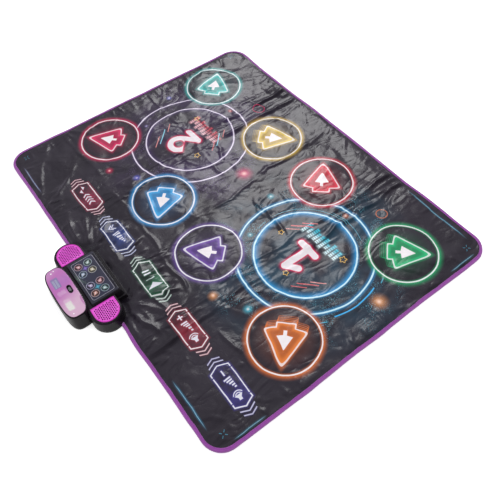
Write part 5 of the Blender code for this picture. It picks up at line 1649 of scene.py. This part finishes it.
def make_cap():
    """The glossy oval: a low crown with a rounded edge and a seat for the switch's bezel."""
    bottom, wall, fillet, edge_rise, crown = CAP_TOP - 0.0017, 0.0016, 0.0007, 0.0005, 0.0003
    rim_x, rim_y = (draft + CAP_RIM + SEAT_GAP for draft in CAP_DRAFT)
    profile = [(0, bottom), (0, bottom + wall)]
    for step in range(1, 5):
        turn = pi / 2 * step / 4
        profile.append((fillet * (1 - cos(turn)), bottom + wall + edge_rise * sin(turn)))
    reach = CAP_BASE_Y - rim_y - fillet
    for share in (step / 10 for step in range(1, 10)):
        rise = crown * (1 - max(1 - share / 0.2, 0) ** 2)
        profile.append((fillet + share * reach, bottom + wall + edge_rise + rise))
    cap = loft("cap", [(cap_outline(rim_x + drawn, rim_y + drawn), height) for drawn, height in profile])
    hole = flat_curve([switch_outline(-SEAT_GAP, 0.00579)], bottom - OVERLAP, CAP_TOP + 0.006)
    boolean(cap, [hole], "DIFFERENCE")
    smooth_by_angle(cap, 0.5)
    place_piece(cap, "gloss_cap", cap_paint(), "mat", "pink_gloss", "console_cap")


def make_knob(grey):
    """The slide switch's knob: a rounded bar with grip ribs across it, on its stem."""
    (x, y), (half_x, half_y), bottom, _ = plan_box("switch_knob")
    top = CAP_TOP + 0.0008
    knob = loft("knob", [
        (rounded(half_x, half_y, 0.0029, 8, (x, y)), CAP_TOP - 0.0038),
        (rounded(half_x, half_y, 0.0029, 8, (x, y)), top - 0.0004),
        (rounded(half_x - 0.0004, half_y - 0.0004, 0.0025, 8, (x, y)), top),
    ])
    others = []
    for index in range(-2, 3):
        middle = (x + index * 0.0016, y)
        others.append(loft("rib", [
            (rounded(0.00045, half_y - 0.0007, 0.0002, 2, middle), top - 0.0004),
            (rounded(0.00040, half_y - 0.0008, 0.0002, 2, middle), top + 0.0002),
        ]))
    stem = rounded(0.003, 0.002, 0.0004, 3, (x, y))
    others.append(loft("stem", [(stem, bottom), (stem, CAP_TOP - 0.003)]))
    boolean(knob, others, "UNION")
    smooth_by_angle(knob, 0.5)
    place_piece(knob, "switch_slider", grey, "switch_knob", "knob_grey", "switch_knob")


def make_underside():
    """The underside: a thin grip sheet within the binding's lower fold, a little uneven on the floor."""
    inset, cell = 0.0089, 0.008
    xs = np.arange(-MAT_HALF_X, MAT_HALF_X + cell, cell)
    ys = np.arange(MAT_LOW.y, MAT_HIGH.y + cell, cell)
    x, y = np.meshgrid(xs, ys)
    near = np.abs(mat_distance(x, y, inset)) < cell * 0.71
    for _ in range(3):
        moved_x, moved_y = push_out(x, y, -mat_distance(x, y, inset))
        x, y = np.where(near, moved_x, x), np.where(near, moved_y, y)
    away = mat_distance(x, y, inset)
    hem_x, hem_y = push_out(x, y, edge_stray(x, y))
    z = 0.0002 + 0.0002 * (value_noise(x, y, 0.05, 71) + 1) * (away < -0.01)
    index = np.arange(x.size).reshape(x.shape)
    quads = np.stack([index[:-1, :-1], index[1:, :-1], index[1:, 1:], index[:-1, 1:]], -1).reshape(-1, 4)
    inner = (away < 1e-4).ravel()[quads].all(1)
    points = np.stack([hem_x.ravel(), hem_y.ravel(), z.ravel()], -1)
    under = add_mesh("grip_underside", *compact(points, quads[inner], quads[:0, :3]))
    place_piece(under, "grip_underside", grip_fabric(), "mat", "grip_fabric", "bottom_sheet")


def grip_fabric():
    """Dark woven backing with staggered rows of small round rubber dots."""
    material, shader = new_material("grip_dots", roughness=0.8)
    x, y, _ = place()
    pitch = 0.006
    row = Num.math("FLOOR", y / pitch)
    u = Num.math("PINGPONG", x / pitch + row * 0.5, 0.5)
    v = Num.math("PINGPONG", y / pitch + 0.5, 0.5)
    dot = 1 - ease(length(u, v), 0.16, 0.22)
    thread = abs(Num.math("SINE", x * (pi / 0.0008)) * Num.math("SINE", y * (pi / 0.0008)))
    # Painted shade: the weave is darker in the gaps between its threads.
    cloth = paint(ink(34, 34, 36), ink(50, 50, 53), thread)
    cloth = paint(cloth, ink(42, 41, 44), ease(noise(9, 3), 0.4, 0.7) * 0.6)
    connect(shader.inputs["Base Color"], paint(cloth, ink(24, 24, 25), dot))
    connect(shader.inputs["Roughness"], 0.82 - dot * 0.3)
    bump(shader, thread, 0.0001)
    bump(shader, dot, 0.0006)
    return material


# Carried-over CAD nodes
def finish_nodes(black):
    """Gives the CAD nodes that no new piece stands for their materials, by their names or how those begin."""
    steel = metal("plated_steel", (196, 198, 204), 0.3)
    screw = metal("zinc_screw", (176, 178, 186), 0.28)
    looks = {
        "base_shell": black,
        "battery_door": moulded("door_plastic", (25, 25, 27), 0.5, 0.0001, 900),
        "light_baffle": moulded("white_plastic", (226, 226, 222), 0.5),
        "led_board": board_look("lamp_board"),
        "main_board": board_look("main_board_laminate"),
        "ribbon_cable": ribbon_look(),
        "spacer_foam": foam("white_foam", (228, 229, 226)),
        "padding_foam": foam("grey_foam", (92, 92, 95)),
        "upper_contact_film": moulded("carbon_print", (34, 34, 38), 0.4),
        "lower_contact_film": moulded("track_print", (186, 180, 150), 0.35),
        "switch_body": steel,
        "speaker_cone": moulded("pressed_paper", (30, 30, 31), 0.85, 0.0002, 500, 0.25),
        "speaker_basket": metal("stamped_steel", (150, 152, 158), 0.35, (1, 1, 8)),
        "battery_contact": steel,
        "battery_cell": cell_look(),
        "rubber_foot": moulded("foot_rubber", (28, 28, 29), 0.85, 0.0001, 700),
    }
    for name, obj in frame["nodes"].items():
        if name in REPLACED:
            continue
        look = screw if "_screw_" in name else next(looks[start] for start in looks if name.startswith(start))
        obj.data.materials.clear()
        obj.data.materials.append(look)
        smooth_by_angle(obj, 0.5)


def board_look(name):
    """Green laminate with printed tracks under the mask."""
    material, shader = new_material(name, roughness=0.35)
    x, y, _ = place()
    track = least(abs(Num.math("SINE", x * 2600)), abs(Num.math("SINE", y * 1900)))
    shade = paint(ink(40, 128, 74), ink(22, 92, 50), ease(track, 0.12, 0.3))
    shade = paint(shade, ink(200, 170, 90), inside((cells(180) - 0.16) * 4, 0.2) * 0.7)
    connect(shader.inputs["Base Color"], shade)
    bump(shader, ease(track, 0.1, 0.3), 0.00005)
    return material


def ribbon_look():
    """Clear film over a row of flat conductors."""
    material, shader = new_material("ribbon_film", roughness=0.4)
    track = ease(Num.math("SINE", (place()[0] - CONSOLE_X) * (2 * pi / 0.002)), -0.2, 0.2)
    connect(shader.inputs["Base Color"], paint(ink(206, 200, 178), ink(120, 122, 128), track))
    bump(shader, track, 0.00005)
    return material


def cell_look():
    """A battery's printed wrap: a green end, a dark band and bare metal at its ends."""
    material, shader = new_material("cell_wrap", roughness=0.3)
    along = abs(place()[0] - CONSOLE_X)
    tip = ease(along, 0.0485, 0.0488)
    bare = ink(190, 192, 196)
    shade = paint(ink(34, 92, 70), ink(24, 26, 28), ease(along, 0.014, 0.0145))
    shade = paint(shade, bare, tip)
    shade = paint(shade, bare, 1 - ease(along, 0.0012, 0.0014))
    fill(shader, {"Base Color": shade, "Metallic": 0.35 + tip * 0.6})
    bump(shader, noise(300, 2), 0.00003)
    return material


# Stage, lights and camera
EYE = Vector((-0.8279, 0.4368, 1.1350))


def ray_kinds():
    """Whether a ray comes from the camera, off a surface, or through one."""
    rays = new_node("LightPath")
    return [Num(rays.outputs[f"Is {kind} Ray"]) for kind in ("Camera", "Glossy", "Transmission")]


def make_stage():
    """The floor: white paper that shines a little of its own, so that it shows as white."""
    mesh = bpy.data.meshes.new("floor")
    shape = bmesh.new()
    bmesh.ops.create_grid(shape, x_segments=1, y_segments=1, size=14)
    shape.to_mesh(mesh)
    shape.free()
    floor = link(bpy.data.objects.new("floor", mesh))
    floor.location.z = -0.0004
    material, shader = new_material("floor_paper", roughness=1.0)
    fill(shader, {"Base Color": (0.86, 0.86, 0.865, 1), "Specular IOR Level": 0.0})
    camera, glossy, through = ray_kinds()
    strength = camera * 0.55 + most(glossy, through) * (1 - camera) * 0.15
    lift = new_node("Emission")
    fill(lift, {"Color": (1, 1, 1, 1), "Strength": strength})
    both = new_node("AddShader")
    for slot, source in zip(both.inputs, (shader, lift)):
        connect(slot, source.outputs[0])
    connect(Num.tree.nodes["Material Output"].inputs["Surface"], both.outputs[0])
    mesh.materials.append(material)


def make_world():
    """White to the camera; to reflections a studio that is bright low down and dim overhead."""
    world = bpy.data.worlds.new("studio")
    bpy.context.scene.world = world
    world.use_nodes = True
    Num.tree = world.node_tree
    x, y, z = parts_of(new_node("TexCoord").outputs["Generated"])
    ahead = x * 0.866 - y * 0.5
    toward = x * 0.564 - y * 0.457 + z * 0.688
    studio = 0.12 + ease(ahead, 0.0, 0.3) * 0.36 + (1 - ease(z, 0.03, 0.22)) * 0.3
    studio = studio + ease(toward, 0.84, 0.98) * 0.25 + ease(y, 0.1, 0.7) * 0.3
    studio = studio + ease(z, 0.84, 0.93) * ease(y, -0.5, -0.1) * 0.18
    camera, glossy, through = ray_kinds()
    white, plain = most(camera, through), 0.56
    fill(Num.tree.nodes["Background"], {
        "Color": paint((1, 1, 1), (1, 0.94, 1.1), glossy * (1 - white)),
        "Strength": white + (1 - white) * (glossy * studio + (1 - glossy) * plain),
    })


def area_light(name, position, target, size, power, colour=(1, 1, 1)):
    """A rectangular lamp that faces its target."""
    data = bpy.data.lights.new(name, "AREA")
    data.shape = "RECTANGLE"
    data.size, data.size_y = size
    data.energy = power
    data.color = colour
    light = link(bpy.data.objects.new(name, data))
    light.location = position
    way = Vector(target) - Vector(position)
    light.rotation_euler = way.to_track_quat("-Z", "Y").to_euler()
    return light


def make_lights():
    """A large soft lamp beyond the mat, two weak fills, and the small lamps that the cap mirrors."""
    area_light("soft", (2.9, -2.35, 3.54), (0.1, -0.2, 0), (1.6, 2.6), 60)
    key = area_light("key", (-1.1, -0.9, 2.4), (0, 0, 0), (1.4, 1.4), 15)
    fill_light = area_light("fill", (0.3, 2.0, 1.8), (0, 0.1, 0), (1.6, 1.0), 12)
    key.visible_glossy = fill_light.visible_glossy = False
    for name, x, y, size, power in (
        ("card_white", -0.039, 0.008, (0.037, 0.064), 0.02),
        ("card_pale", -0.044, 0.008, (0.030, 0.046), 0.012),
        ("card_band", 0.001, 0.009, (0.048, 0.022), 0.009),
    ):
        spot = Vector((*console_point(x, CAP_Y + y), CAP_TOP + 0.001))
        way = (spot - EYE).normalized()
        way.z = -way.z
        area_light(name, spot + way * 1.6, spot, size, power, (0.66, 1.0, 0.72))


def make_camera():
    """The photograph's own view, solved from the mat's corners and rings."""
    data = bpy.data.cameras.new("camera")
    data.sensor_width = 36
    data.lens = 38.23
    camera = link(bpy.data.objects.new("camera", data))
    right = Vector((-0.5996, -0.7992, -0.0422)).normalized()
    forward = Vector((0.4767, -0.3143, -0.8209)).normalized()
    up = right.cross(forward)
    right = forward.cross(up)
    rows = [(right[i], up[i], -forward[i], EYE[i]) for i in range(3)] + [(0, 0, 0, 1)]
    camera.matrix_world = Matrix(rows)
    bpy.context.scene.camera = camera


def main():
    make_camera()
    make_world()
    make_lights()
    make_stage()
    black = moulded("black_plastic", (20, 17, 21), 0.28, 0.00008, 1200, specular=0.3)
    sheet, pads = make_sheet_and_pads()
    binding = make_binding(woven("binding_tape", (172, 78, 185), 0.0011, 0.6, 0.4))
    seam = make_stitches(moulded("thread", (134, 48, 154), 0.6))
    make_shell(black)
    make_base_rim(black)
    make_front_trim(black)
    make_panel()
    magenta = grille_paint()
    # Dark cloth that stands in for the shade within the grille holes.
    hole_shade_felt = woven("hole_shade_cloth", (16, 8, 16), 0.0005, 0.9, 0.1)
    for side, sign in (("left", -1), ("right", 1)):
        make_grille(side, sign, magenta, hole_shade_felt)
    make_cap()
    make_knob(moulded("knob_plastic", (118, 118, 122), 0.45))
    make_underside()
    finish_nodes(black)


scene = bpy.context.scene
scene.view_settings.view_transform = "Standard"
main()
